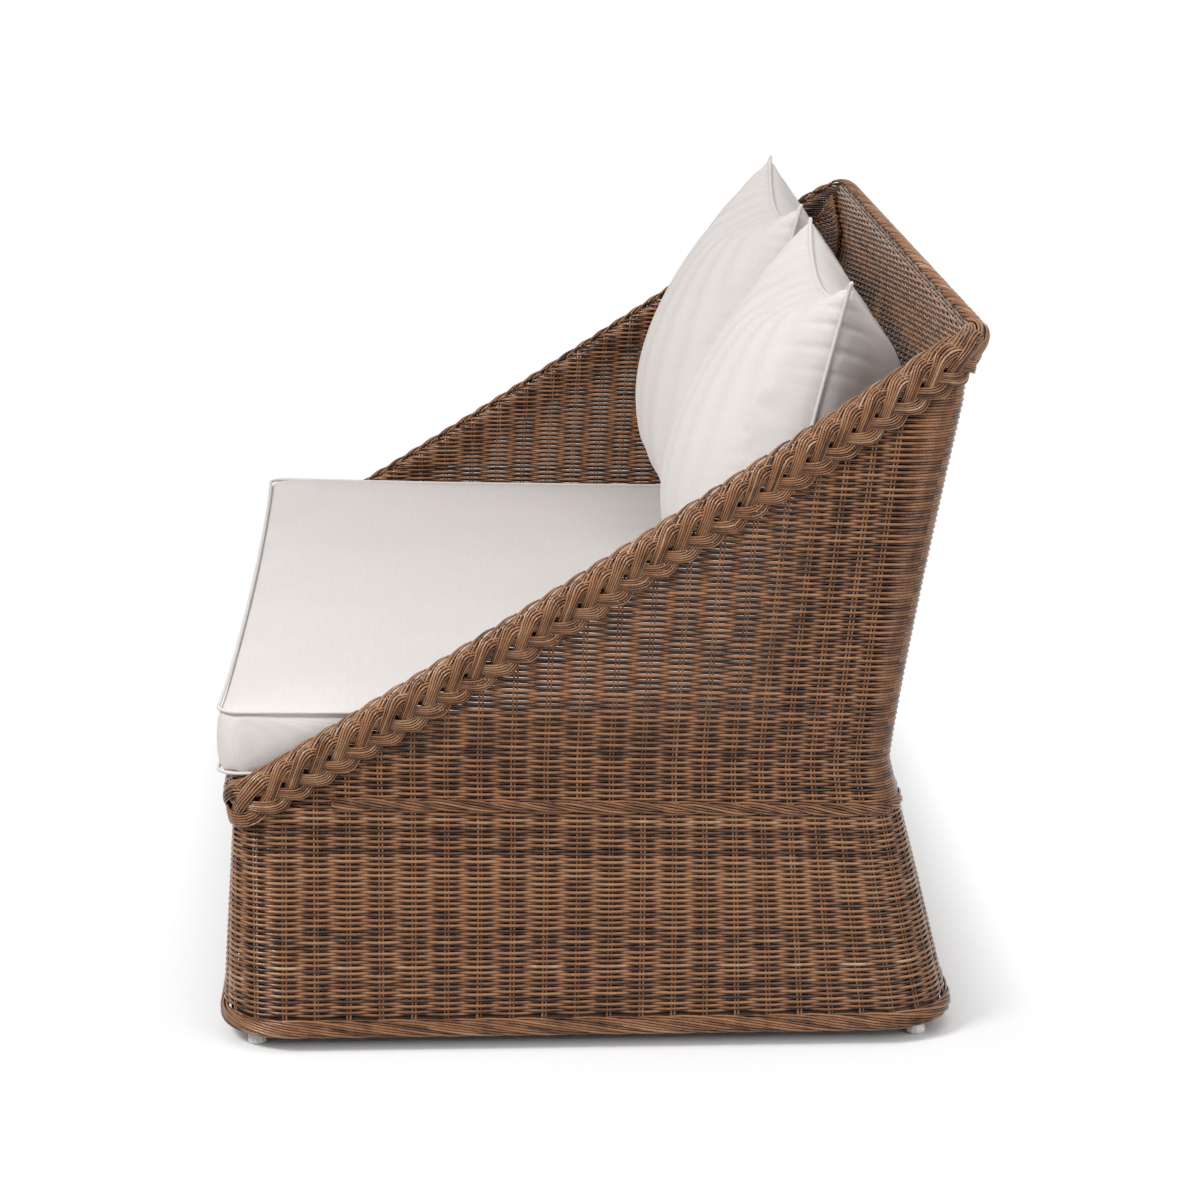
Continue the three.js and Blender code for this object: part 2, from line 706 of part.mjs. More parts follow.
function rimPath(columns) {
  const centres = columns.map(column => column.at(column.rimHeight, rimInset));
  let travelled = 0;
  return columns.map((column, index) => {
    const ahead = centres[Math.min(index + 1, centres.length - 1)];
    const behind = centres[Math.max(index - 1, 0)];
    const along = ahead.clone().sub(behind).normalize();
    const upWall = column.at(column.rimHeight, 0).sub(column.at(column.rimHeight - plaitHang, 0));
    const outward = along.clone().cross(upWall).normalize();
    const upward = outward.clone().cross(along).normalize();
    if (index > 0) travelled += centres[index].distanceTo(centres[index - 1]);
    return { centre: centres[index], outward, upward, travelled };
  });
}

// A point of the plait: how far along the rim, how far down its surface, and how far proud of it
function plaitPoint(path, distance, down, proud) {
  let k = 0;
  while (k + 2 < path.length && path[k + 1].travelled < distance) k++;
  const share = (distance - path[k].travelled) / (path[k + 1].travelled - path[k].travelled);
  const between = key => path[k][key].clone().lerp(path[k + 1][key], share);
  const outward = between('outward').normalize();
  const upward = between('upward').normalize();
  const angle = down < wrapLength ? plaitInnerAngle - down / plaitRadius : 0;
  const hanging = Math.max(down - wrapLength, 0);
  return between('centre')
    .addScaledVector(outward, (plaitRadius + proud) * Math.cos(angle))
    .addScaledVector(upward, (plaitRadius + proud) * Math.sin(angle) - hanging);
}

const swingAt = turn => Math.asin(swingSharpness * Math.sin(turn)) / Math.asin(swingSharpness);
const liftAt = turn => Math.tanh(liftSharpness * Math.sin(2 * turn)) / Math.tanh(liftSharpness);

function plaitBundle(path, bundle) {
  const total = path.at(-1).travelled;
  const lengths = Math.round(total / plaitLength);
  const stations = lengths * plaitStepsPerLength;
  const turnAt = distance => 2 * Math.PI * (distance * lengths / total + bundle / bundleCount);
  const downAt = distance => plaitMiddle + plaitSwing * swingAt(turnAt(distance));
  const probe = stationProbeShare * total / stations;
  return loft(shares(stations).map(share => {
    const distance = share * total;
    const steepness = (downAt(distance + probe) - downAt(distance - probe)) / (2 * probe);
    const span = bundleWidth / 2 * Math.hypot(1, steepness);
    const lift = bundleLift * liftAt(turnAt(distance));
    const section = [[0, bundleThickness / 2], [-span, 0], [0, -bundleThickness / 2], [span, 0]];
    return section.map(
      ([down, proud]) => plaitPoint(path, distance, downAt(distance) + down, lift + proud));
  }));
}

const plaitSides = [
  ['front', frontSide(rimCornerSteps, plainColumns(frontStraight, rimStraightSteps))],
  ['right', rightSide(rimCornerSteps, plainColumns(sideStraight, rimStraightSteps))],
  ['back', backSide(rimCornerSteps, plainColumns(backStraight, rimStraightSteps))],
  ['left', leftSide(rimCornerSteps, plainColumns(sideStraight, rimStraightSteps))],
];
const bundleNames = ['a', 'b', 'c'];
for (const [name, columns] of plaitSides) {
  const path = rimPath(columns);
  bundleNames.forEach((bundleName, bundle) => {
    addPiece(`plait_${name}_${bundleName}`, plaitBundle(path, bundle), materials.cane);
  });
}

// Seat cushion: a boxed bench cushion with a crowned top between its welts and sides that swell between
// them
const cushionBase = deckThickness + softGap;
const cushionFront = rimInset - plaitReach - cushionOverhang;
const cushionBack = waistBack - wallThickness - cushionBackClearance - seatFront;
const crownRun = cushionBack * cushionCrownRunShare;
const crownAt = inset => cushionCrown * (1 - (1 - Math.min(inset / crownRun, 1)) ** 2);

// The cushion's outline at a height, inset from its edge, from the middle of a back corner round to it
// again. Between its corners each side is drawn in a little.
function cushionRing(height, inset, drawShare) {
  const corners = [
    [cushionHalfWidth, cushionBack, -1, -1, cushionBackRadius],
    [-cushionHalfWidth, cushionBack, 1, -1, cushionBackRadius],
    [-cushionHalfWidth, cushionFront, 1, 1, cushionFrontRadius],
    [cushionHalfWidth, cushionFront, -1, 1, cushionFrontRadius],
  ].map(([x, y, towardsX, towardsY, edgeRadius], quarter) => {
    const leastRadius = edgeRadius * innerCornerShare + inset * innerCornerGrowthShare;
    const radius = Math.max(edgeRadius - inset, leastRadius);
    return shares(cushionCornerSides).map(share => {
      const angle = (quarter + share) * Math.PI / 2;
      return new THREE.Vector3(
        x + towardsX * (inset + radius) + radius * Math.cos(angle),
        y + towardsY * (inset + radius) + radius * Math.sin(angle),
        cushionBase + height);
    });
  });
  const ring = corners.flatMap((corner, quarter) => {
    const start = corner.at(-1);
    const end = corners[(quarter + 1) % corners.length][0];
    const angle = (quarter + 1) * Math.PI / 2;
    const inwards = new THREE.Vector3(-Math.cos(angle), -Math.sin(angle), 0);
    const side = shares(cushionSideSides).slice(1, -1).map(share => start.clone().lerp(end, share)
      .addScaledVector(inwards, cushionDrawIn * drawShare * 4 * share * (1 - share)));
    return [...corner, ...side];
  });
  const cornerMiddle = cushionCornerSides / 2;
  return [...ring.slice(cornerMiddle), ...ring.slice(0, cornerMiddle)];
}

addPiece('seat_cushion', loft([
  cushionRing(0, crownRun, 0),
  cushionRing(0, 0, 1),
  cushionRing(cushionThickness / 2, -cushionBulge, 1),
  ...cushionCrownShares.map(share => (
    cushionRing(cushionThickness + crownAt(crownRun * share), crownRun * share, 1 - share))),
]), materials.canvas, seatPlane);

// Back pillows: knife-edged, full in the middle, with drawn-in sides and pointed corners, leaning on the
// back. Both faces are grids over the outline, joined round the edge.
const leanAxis = new THREE.Vector3(1, 0, 0);

// A point of a pillow's face: across and up the outline as shares from -1 to 1, and the face's side as 1 or
// -1
function pillowPoint(across, up, face) {
  const fullness = ((1 - across ** 2) * (1 - up ** 2)) ** pillowFullnessPower;
  const half = pillowEdge / 2 + (pillowThickness - pillowEdge) / 2 * fullness;
  return new THREE.Vector3(
    across * pillowWidth / 2 * (1 - pillowSideSagShare * (1 - up ** 2)),
    face * half,
    up * pillowHeight / 2 * (1 - pillowTopSagShare * (1 - across ** 2)),
  ).applyAxisAngle(leanAxis, -pillowLean);
}

// Places along a pillow, closer together towards its edges
const pillowSteps = shares(pillowGridSteps).map(share => Math.sin((share - 1 / 2) * Math.PI));
const pillowPoints = [-1, 1].flatMap(face => pillowSteps.flatMap(
  up => pillowSteps.map(across => pillowPoint(across, up, face))));

function pillowGeometry() {
  const rowLength = pillowSteps.length;
  const faceLength = rowLength * rowLength;
  const last = rowLength - 1;
  const index = [];
  const addQuad = (a, b, c, d) => index.push(a, b, c, a, c, d);
  for (let row = 0; row < last; row++) {
    for (let k = 0; k < last; k++) {
      const front = row * rowLength + k;
      const back = front + faceLength;
      addQuad(front, front + 1, front + rowLength + 1, front + rowLength);
      addQuad(back, back + rowLength, back + rowLength + 1, back + 1);
    }
  }
  const steps = [...Array(last).keys()];
  const border = [
    ...steps,
    ...steps.map(k => k * rowLength + last),
    ...steps.map(k => last * rowLength + last - k),
    ...steps.map(k => (last - k) * rowLength),
  ];
  border.forEach((place, k) => {
    const next = border[(k + 1) % border.length];
    addQuad(next, place, place + faceLength, next + faceLength);
  });
  return closedGeometry(pillowPoints.flatMap(point => point.toArray()), index);
}

// Top of the seat cushion at a place, and the inner face of the back at a height
function cushionTopAt(y) {
  const fromFront = y - seatFront;
  const inset = Math.min(cushionBack - fromFront, fromFront - cushionFront);
  const overSeatPlane = cushionBase + cushionThickness + crownAt(Math.max(inset, 0));
  return seatTop + seatGap + overSeatPlane / Math.cos(seatTilt) - fromFront * Math.tan(seatTilt);
}

function backInnerFaceAt(z) {
  const onUpperWall = THREE.MathUtils.clamp(z, waistHeight, backRimRailHeight);
  return backFaceAt(onUpperWall) - wallThickness;
}

// The pillow's middle is settled back against the wall and down on the cushion until both all but touch it
const cushionTop = seatTop + cushionThickness;
const pillowMiddle = new THREE.Vector3(0, waistBack - pillowThickness / 2, cushionTop + pillowHeight / 2);
for (let pass = 0; pass < settlePasses; pass++) {
  const places = pillowPoints.map(point => point.clone().add(pillowMiddle));
  const roomBehind = Math.min(...places.map(place => backInnerFaceAt(place.z) - place.y));
  const roomBelow = Math.min(...places.map(place => place.z - cushionTopAt(place.y)));
  pillowMiddle.y += roomBehind - softGap;
  pillowMiddle.z -= roomBelow - softGap;
}

for (const [name, side] of sides) {
  pillowMiddle.x = side * (pillowGap + pillowWidth) / 2;
  addPiece(`back_pillow_${name}`, pillowGeometry(), materials.canvas).position.copy(pillowMiddle);
}

export default sofa;
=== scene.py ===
import math

import bpy
import numpy as np
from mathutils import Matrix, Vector
from mathutils.kdtree import KDTree


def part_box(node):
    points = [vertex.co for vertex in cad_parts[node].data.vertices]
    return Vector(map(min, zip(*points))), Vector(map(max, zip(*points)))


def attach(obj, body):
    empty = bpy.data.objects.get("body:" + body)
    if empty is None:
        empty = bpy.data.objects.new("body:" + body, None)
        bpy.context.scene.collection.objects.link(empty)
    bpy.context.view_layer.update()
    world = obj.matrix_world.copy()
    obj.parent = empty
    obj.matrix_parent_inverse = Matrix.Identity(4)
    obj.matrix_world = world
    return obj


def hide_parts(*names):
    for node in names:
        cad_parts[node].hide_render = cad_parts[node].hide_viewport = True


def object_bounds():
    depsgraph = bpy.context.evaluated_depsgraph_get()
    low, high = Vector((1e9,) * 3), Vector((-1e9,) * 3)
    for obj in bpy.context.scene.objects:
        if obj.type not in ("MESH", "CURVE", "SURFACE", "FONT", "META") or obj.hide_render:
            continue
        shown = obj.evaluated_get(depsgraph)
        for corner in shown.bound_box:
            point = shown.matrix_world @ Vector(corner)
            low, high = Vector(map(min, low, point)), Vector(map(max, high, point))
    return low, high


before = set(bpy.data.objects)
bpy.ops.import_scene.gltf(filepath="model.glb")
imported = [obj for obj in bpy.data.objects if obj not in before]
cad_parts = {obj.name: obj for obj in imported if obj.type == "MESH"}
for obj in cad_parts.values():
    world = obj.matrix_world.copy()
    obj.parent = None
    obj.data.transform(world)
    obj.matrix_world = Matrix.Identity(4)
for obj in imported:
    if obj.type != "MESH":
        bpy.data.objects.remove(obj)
cad_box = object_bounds()
cad_low, cad_high = cad_box


# Camera. It looks across the near arm from a little above the rim, as in the photograph.
# Its place and lens are real sizes, fitted to the sofa's own edges.
camera_place = Vector((4.5648, -0.1573, 1.4161))
camera_turn = 0.0413
camera_dip = 0.2293
sensor_width = 36
lens_length = 110.36


def placed(name, data):
    thing = bpy.data.objects.new(name, data)
    bpy.context.collection.objects.link(thing)
    return thing


def looking_along(direction):
    return direction.to_track_quat("-Z", "Y").to_euler()


camera_data = bpy.data.cameras.new("camera")
camera_data.sensor_width = sensor_width
camera_data.lens = lens_length
camera = placed("camera", camera_data)
camera.location = camera_place
camera.rotation_euler = looking_along(Vector((
    -math.cos(camera_turn) * math.cos(camera_dip),
    math.sin(camera_turn) * math.cos(camera_dip),
    -math.sin(camera_dip))))
bpy.context.scene.camera = camera


# Glides. Six turned plastic feet pressed into the ring under the border: pale and smooth, scuffed
# where they stand on the floor.
glide_white = (0.82, 0.82, 0.80, 1)
glide_scuff = (0.60, 0.59, 0.56, 1)


class NodeBench:
    """Lays nodes in a tree. Inputs go by name or number, as values or as outputs of other nodes."""

    def __init__(self, tree):
        self.tree = tree

    def feed(self, node, inputs):
        for key, value in inputs.items():
            if isinstance(value, bpy.types.NodeSocket):
                self.tree.links.new(value, node.inputs[key])
            else:
                node.inputs[key].default_value = value

    def lay(self, kind, inputs={}, output=0, **settings):
        node = self.tree.nodes.new(kind)
        for setting, value in settings.items():
            setattr(node, setting, value)
        self.feed(node, inputs)
        return node.outputs[output]

    def maths(self, operation, *values, **settings):
        return self.lay("ShaderNodeMath", dict(enumerate(values)), operation=operation, **settings)

    def vector_maths(self, operation, *values, output=0):
        inputs = dict(enumerate(values))
        return self.lay("ShaderNodeVectorMath", inputs, output, operation=operation)


class Finish(NodeBench):
    """A material whose patterns lie by the piece's own coordinates."""

    def __init__(self, name):
        self.material = bpy.data.materials.new(name)
        self.material.use_nodes = True
        super().__init__(self.material.node_tree)
        self.shader = self.tree.nodes["Principled BSDF"]
        self.place = self.lay("ShaderNodeTexCoord", output="Object")

    def noise(self, scale, detail, place=None):
        return self.lay("ShaderNodeTexNoise", {
            "Vector": place or self.place, "Scale": scale, "Detail": detail}, "Fac")

    def between(self, value, low, high, from_low=0.3, from_high=0.7):
        return self.lay("ShaderNodeMapRange", {
            "Value": value, "From Min": from_low, "From Max": from_high,
            "To Min": low, "To Max": high}, "Result")

    def mixed(self, share, first, second):
        node = self.tree.nodes.new("ShaderNodeMix")
        node.data_type = "RGBA"
        number = {socket.identifier: index for index, socket in enumerate(node.inputs)}
        self.feed(node, {
            number["Factor_Float"]: share, number["A_Color"]: first, number["B_Color"]: second})
        return next(socket for socket in node.outputs if socket.identifier == "Result_Color")

    def shaded(self, colour, roughness, relief, strength, distance):
        self.feed(self.shader, {"Base Color": colour, "Roughness": roughness, "Normal": self.lay(
            "ShaderNodeBump", {"Height": relief, "Strength": strength, "Distance": distance}, "Normal")})
        return self.material


def glide_plastic():
    finish = Finish("glide_plastic")
    scuffs = finish.noise(scale=420, detail=4)
    scuffed = finish.between(scuffs, low=0, high=1, from_low=0.5, from_high=0.75)
    return finish.shaded(
        finish.mixed(scuffed, glide_white, glide_scuff), finish.between(scuffs, low=0.32, high=0.55),
        relief=scuffs, strength=0.2, distance=0.0002)


def dress(prefixes, material):
    for name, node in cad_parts.items():
        if name.startswith(prefixes):
            node.data.materials.clear()
            node.data.materials.append(material)


dress("glide_", glide_plastic())


# Poles. The ring, posts, seat rails and bearers are whole rattan poles, bent by steam and stained
# brown, with a ring at each joint of the plant and fine grain along the pole.
pole_dark = (0.075, 0.034, 0.017, 1)
pole_light = (0.22, 0.115, 0.062, 1)


def rattan_pole():
    finish = Finish("rattan_pole")
    cloudy = finish.noise(scale=18, detail=3)
    grain = finish.noise(scale=900, detail=2)
    clouded = finish.mixed(finish.between(cloudy, low=0, high=1), pole_dark, pole_light)
    streaked = finish.mixed(finish.between(grain, low=0, high=0.5), clouded, pole_dark)
    return finish.shaded(streaked, finish.between(cloudy, low=0.4, high=0.6),
                         relief=grain, strength=0.3, distance=0.0003)


pole_finish = rattan_pole()
dress(("ring_", "front_post", "back_post", "seat_rail", "seat_bearer", "middle_post", "rim_rail",
       "arm_rail"), pole_finish)


# Form of the body. The wall leans in from the floor to the waist just over the seat, and out again to
# the rim. Its corners are round, wide at the floor and tighter at the waist.
border_proud = 0.003
wall_thickness = 0.009
side_waist_tuck = 0.018
front_lean = 0.020
back_waist_tuck = 0.087
back_floor_tuck = 0.006
back_flare_power = 1.15
front_floor_radius = 0.090
front_seat_radius = 0.035
back_floor_radius = 0.095
back_waist_radius = 0.045
seat_height = 0.286
seat_fall = 0.017
waist_rise = 0.032
waist_height = seat_height + waist_rise
rim_rail_radius = 0.007
plait_rail_gap = 0.0023
plait_wall_gap = 0.001
bundle_lift = 0.0027
bundle_thickness = 0.003
plait_radius = rim_rail_radius + plait_rail_gap + bundle_lift + bundle_thickness / 2
plait_reach = plait_radius + bundle_lift + bundle_thickness / 2
rim_inset = plait_radius - bundle_lift - bundle_thickness / 2 - plait_wall_gap
back_rim_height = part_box("rim_rail_back")[1].z - rim_rail_radius
front_rim_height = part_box("rim_rail_front")[0].z + rim_rail_radius
floor_half_width = cad_high.x - border_proud
floor_front = cad_low.y + border_proud
rim_back = -cad_low.y - plait_reach + rim_inset
waist_back = rim_back - back_waist_tuck
floor_back = rim_back - back_floor_tuck
waist_half_width = floor_half_width - side_waist_tuck
rim_half_width = cad_high.x - plait_reach + rim_inset
seat_front = floor_front + front_lean
seat_slope = seat_fall / (waist_back - seat_front)


def mix(first, second, share):
    return first + (second - first) * share


def smooth(value):
    value = np.clip(value, 0, 1)
    return value * value * (3 - 2 * value)


def half_width(z):
    over_waist = (z - waist_height) / (back_rim_height - waist_height)
    return np.where(z < waist_height, mix(floor_half_width, waist_half_width, z / waist_height),
                    mix(waist_half_width, rim_half_width, over_waist))


def front_face(z):
    return floor_front + front_lean * np.minimum(z / seat_height, 1)


def back_face(z):
    over_waist = np.maximum(z - waist_height, 0) / (back_rim_height - waist_height)
    return np.where(z < waist_height, mix(floor_back, waist_back, z / waist_height),
                    mix(waist_back, rim_back, over_waist ** back_flare_power))


def corner_radius(end, z):
    if end == "front":
        return mix(front_floor_radius, front_seat_radius, np.minimum(z / seat_height, 1))
    return mix(back_floor_radius, back_waist_radius, np.minimum(z / waist_height, 1))


def corner_centre(end, side, z):
    radius = corner_radius(end, z)
    y = front_face(z) + radius if end == "front" else back_face(z) - radius
    return side * (half_width(z) - radius), y


def seat_level(places):
    return seat_height - seat_slope * (np.clip(places[:, 1], seat_front, waist_back) - seat_front)


# Each wall runs from the middle of one corner to the middle of the next, round the body. Its stations
# go from 0 to 1 round the first half corner, to 2 along the straight and to 3 round the last.
eighth = math.pi / 4
walls = {
    "front": (("front", -1), ("front", 1), -3 * eighth),
    "right": (("front", 1), ("back", 1), -eighth),
    "back": (("back", 1), ("back", -1), eighth),
    "left": (("back", -1), ("front", -1), 3 * eighth),
}
last_station = 3


def wall_corners(wall, z):
    """Centre and radius of a wall's first and last corner at a height."""
    return [(*corner_centre(end, side, z), corner_radius(end, z)) for end, side in walls[wall][:2]]


def wall_stretches(wall, z):
    """Lengths of a wall's first half corner, straight and last half corner at a height."""
    (ax, ay, radius_a), (bx, by, radius_b) = wall_corners(wall, z)
    return radius_a * eighth, np.abs(bx - ax) + np.abs(by - ay), radius_b * eighth


def wall_place(wall, station, z, inset):
    """Points of a wall and its outward directions, at stations, heights and an inset."""
    (ax, ay, radius_a), (bx, by, radius_b) = wall_corners(wall, z)
    share = np.clip(station - 1, 0, 1)
    turn = walls[wall][2] + eighth * (np.clip(station, 0, 1) + np.clip(station - 2, 0, 1))
    radius = mix(radius_a, radius_b, share) - inset
    outward = np.stack([np.cos(turn), np.sin(turn), np.zeros_like(turn)], -1)
    centre = np.stack([mix(ax, bx, share), mix(ay, by, share), z], -1)
    return centre + radius[..., None] * outward, outward


# Arm line, from the front corner up to the back corner, with a little sag
arm_front_rise = 0.018
arm_back_drop = 0.0216
arm_sag = 0.007
arm_front_z = front_rim_height + arm_front_rise
arm_back_z = back_rim_height - arm_back_drop
arm_front_y = float(front_face(arm_front_z) + corner_radius("front", arm_front_z))
arm_back_y = float(back_face(arm_back_z) - corner_radius("back", arm_back_z))
arm_run = arm_back_y - arm_front_y
arm_front_slope = (arm_back_z - arm_front_z - 4 * arm_sag) / arm_run
arm_back_slope = (arm_back_z - arm_front_z + 4 * arm_sag) / arm_run
settle_passes = 12
rim_table_steps = 80
corner_shares = {"front": (0, 0), "right": (1, 0), "back": (1, 1), "left": (0, 1)}


def arm_height(y):
    share = (y - arm_front_y) / arm_run
    return mix(arm_front_z, arm_back_z, share) - 4 * arm_sag * share * (1 - share)


def corner_rim(end, share):
    """The rim rail's height round a corner: from front to side, or from side to back."""
    if end == "front":
        start, finish, radius = (front_rim_height, 0), (arm_front_z, arm_front_slope), front_seat_radius
    else:
        start, finish, radius = (arm_back_z, arm_back_slope), (back_rim_height, 0), back_waist_radius
    run = (radius - rim_inset) * 2 * eighth
    s2, s3 = share ** 2, share ** 3
    return ((1 - 3 * s2 + 2 * s3) * start[0] + (3 * s2 - 2 * s3) * finish[0]
            + run * ((s3 - 2 * s2 + share) * start[1] + (s3 - s2) * finish[1]))


def rim_table(wall):
    """Stations of a wall, the rim rail's height there and how level it runs."""
    station = np.linspace(0, last_station, last_station * rim_table_steps + 1)
    if wall in ("front", "back"):
        straight = np.full_like(station, front_rim_height if wall == "front" else back_rim_height)
    else:
        straight = np.full_like(station, waist_height)
        for _ in range(settle_passes):
            straight = arm_height(wall_place(wall, np.clip(station, 1, 2), straight, 0)[0][:, 1])
    (end_a, _), (end_b, _), _ = walls[wall]
    middle = 0.5
    first_end, last_start = corner_shares[wall]
    first = corner_rim(end_a, mix(middle, first_end, np.clip(station, 0, 1)))
    last = corner_rim(end_b, mix(last_start, middle, np.clip(station - 2, 0, 1)))
    height = np.where(station < 1, first, np.where(station > 2, last, straight))
    steps = np.diff(wall_place(wall, station, height, rim_inset)[0], axis=0)
    level = np.linalg.norm(steps[:, :2], axis=1) / np.linalg.norm(steps, axis=1)
    return station, height, np.concatenate([level[:1], level])


rim_tables = {wall: rim_table(wall) for wall in walls}


def rim_at(wall, station):
    """The rim rail's height, and how level it runs, as the cosine of its slope."""
    stations, height, level = rim_tables[wall]
    return np.interp(station, stations, height), np.interp(station, stations, level)


# The woven wall draws in under the rim rail, passes inside it and turns over its top, so the rail is
# hidden between the weave and the plait
curl_radius = 0.0088
curl_height = 0.075
curl_power = 1.4


def drawn_in(rise, inset):
    return (curl_radius + rim_inset - inset) * np.clip(1 + rise / curl_height, 0, 1) ** curl_power


def over_rim(wall, station, z, inset):
    """Points of the woven wall, its outward directions and how far it has turned over the rim rail."""
    rim, level = rim_at(wall, station)
    rise = z - rim
    turn = np.clip(rise * level / curl_radius, 0, math.pi)
    turned_inset = np.where(rise > 0, rim_inset + curl_radius * np.cos(turn), inset + drawn_in(rise, inset))
    turned_z = np.where(rise > 0, rim + curl_radius * np.sin(turn) / level, z)
    places, outward = wall_place(wall, station, turned_z, turned_inset)
    facing = outward * np.cos(turn)[:, None]
    facing[:, 2] -= np.sin(turn)
    return places, facing, turn


# Stakes. Pairs of thin canes stand on the ring and run up through the skirt, past the wale and under
# the plait. They are the warp: every weaver passes before one pair and behind the next.
stake_counts = {"front": 38, "right": 22, "back": 38, "left": 22}
stake_starts = dict(zip(walls, np.cumsum([0, *stake_counts.values()])))
stakes_left_to_posts = {"right": (21,), "back": (0, 37), "left": (0,)}
stake_radius = 0.00125
stake_spread = 0.0019
stake_inset = 0.0045
stake_gather = 0.4
stake_lean_share = 0.62
stake_step = 0.011
stake_foot = 0.004
stake_tones = (0.3, 0.9)
stake_wander = 0.0004
border_height = 0.041
wale_half = 0.006
stake_last_turn = 1.9
row_last_turn = 1.65
cane_sides = 5
cane_wander = 0.0006
thinnest_cane = 0.88
thickness_by_tone = 0.24
# Painted shade: a woven cane's tone is darkened where it faces into the recess between the weave's two
# layers
painted_shade_gain = 2
painted_shade_start = 0.1
painted_shade_below_black = 0.2
cane_lightness = 1.1
cane_tones = ((0.00, (0.030, 0.010, 0.004)), (0.22, (0.135, 0.054, 0.022)), (0.45, (0.280, 0.122, 0.052)),
              (0.60, (0.330, 0.149, 0.065)), (0.75, (0.350, 0.174, 0.080)), (0.90, (0.400, 0.218, 0.114)),
              (1.00, (0.500, 0.330, 0.210)))


def gathered(wall, share):
    if wall == "right":
        return share + stake_gather * share ** 2 * (1 - share)
    if wall == "left":
        return 1 - gathered("right", 1 - share)
    return share


def stake_run(wall, share, z):
    """How far along its wall a stake stands at a height. Its share of the wall is gathered to the back."""
    length = sum(wall_stretches(wall, z))
    waist = sum(wall_stretches(wall, np.full_like(z, waist_height)))
    to_waist = np.clip(z / waist_height, 0, 1)
    below = length * mix(share, gathered(wall, share), to_waist)
    if wall in ("front", "back"):
        return below
    leaning = 1 + stake_lean_share * (length - waist) / waist
    if wall == "right":
        above = waist * gathered(wall, share) * leaning
    else:
        above = length - waist * (1 - gathered(wall, share)) * leaning
    return np.where(z < waist_height, below, above)


def run_station(wall, run, z):
    first, straight, last = wall_stretches(wall, z)
    return (np.clip(run / first, 0, 1) + np.clip((run - first) / straight, 0, 1)
            + np.clip((run - first - straight) / last, 0, 1))


def stake_station(wall, share, z):
    return run_station(wall, stake_run(wall, share, z), z)


def normalised(vectors):
    return vectors / np.linalg.norm(vectors, axis=1, keepdims=True)


def cane_tree():
    """The tree that weaves and sweeps canes along guide lines."""
    tree = bpy.data.node_groups.new("woven_canes", "GeometryNodeTree")
    for name, kind in (("Geometry", "Geometry"), ("Cane radius", "Float"), ("In and out", "Float"),
                       ("Hand wander", "Float"), ("Wander scale", "Float"), ("Sides", "Int"),
                       ("Finish", "Material")):
        tree.interface.new_socket(name, in_out="INPUT", socket_type=f"NodeSocket{kind}")
    tree.interface.new_socket("Geometry", in_out="OUTPUT", socket_type="NodeSocketGeometry")
    bench = NodeBench(tree)
    given = tree.nodes.new("NodeGroupInput").outputs

    def attribute(name, kind="FLOAT"):
        node = tree.nodes.new("GeometryNodeInputNamedAttribute")
        node.data_type = kind
        node.inputs["Name"].default_value = name
        return next(socket for socket in node.outputs if socket.enabled and socket.name == "Attribute")

    def scaled(vector, factor):
        return bench.lay("ShaderNodeVectorMath", {0: vector, "Scale": factor}, operation="SCALE")

    wrap = attribute("wrap")
    turn = bench.maths("MULTIPLY", attribute("phase"), math.pi)
    alternating = bench.maths("MULTIPLY", bench.maths("COSINE", turn), bench.maths("SUBTRACT", 1, wrap))
    out = bench.maths("MULTIPLY", bench.maths("ADD", alternating, wrap), given["In and out"])
    noise = bench.lay("ShaderNodeTexNoise", {
        "Vector": bench.lay("GeometryNodeInputPosition"), "Scale": given["Wander scale"]}, "Color")
    centred = bench.vector_maths("ADD", noise, (-0.5, -0.5, -0.5))
    moved = bench.lay("GeometryNodeSetPosition", {
        "Geometry": bench.lay("GeometryNodeMeshToCurve", {"Mesh": given["Geometry"]}),
        "Offset": bench.vector_maths("ADD", scaled(attribute("outward", "FLOAT_VECTOR"), out),
                                     scaled(centred, given["Hand wander"]))})
    thickness = bench.maths(
        "ADD", bench.maths("MULTIPLY", attribute("tone"), thickness_by_tone), thinnest_cane)
    radius = bench.maths("MULTIPLY", thickness, given["Cane radius"])
    sized = bench.lay("GeometryNodeSetCurveRadius", {"Curve": moved, "Radius": radius})
    section = bench.lay("GeometryNodeCurvePrimitiveCircle", {"Radius": 1, "Resolution": given["Sides"]})
    sweep = tree.nodes.new("GeometryNodeCurveToMesh")
    bench.feed(sweep, {"Curve": sized, "Profile Curve": section, "Fill Caps": True})
    if "Scale" in sweep.inputs:
        bench.feed(sweep, {"Scale": radius})
    rounded = bench.lay("GeometryNodeSetShadeSmooth", {"Geometry": sweep.outputs[0]})
    real = bench.lay("GeometryNodeRealizeInstances", {"Geometry": rounded})
    stained = bench.lay("GeometryNodeSetMaterial", {"Geometry": real, "Material": given["Finish"]})
    bench.feed(tree.nodes.new("NodeGroupOutput"), {"Geometry": stained})
    return tree


def stained_cane():
    finish = Finish("stained_cane")
    cloudy = finish.noise(scale=55, detail=3)
    grain = finish.noise(scale=1400, detail=2)
    # The tone attribute is each cane's own tone, with painted shade taken off it in the weave's recesses
    tone = finish.lay("ShaderNodeAttribute", output="Fac", attribute_name="tone")
    stain = finish.lay("ShaderNodeValToRGB", {
        "Fac": finish.maths("ADD", tone, finish.between(cloudy, low=-0.17, high=0.17))}, "Color")
    colours = [(*(part * cane_lightness for part in colour), 1) for _, colour in cane_tones]
    stops = stain.node.color_ramp.elements
    for index, (position, _) in enumerate(cane_tones):
        stop = stops[index] if index < 2 else stops.new(position)
        stop.position = position
        stop.color = colours[index]
    streaked = finish.mixed(finish.between(grain, low=0, high=0.55), stain, colours[0])
    return finish.shaded(streaked, finish.between(cloudy, low=0.17, high=0.32),
                         relief=grain, strength=0.2, distance=0.0003)


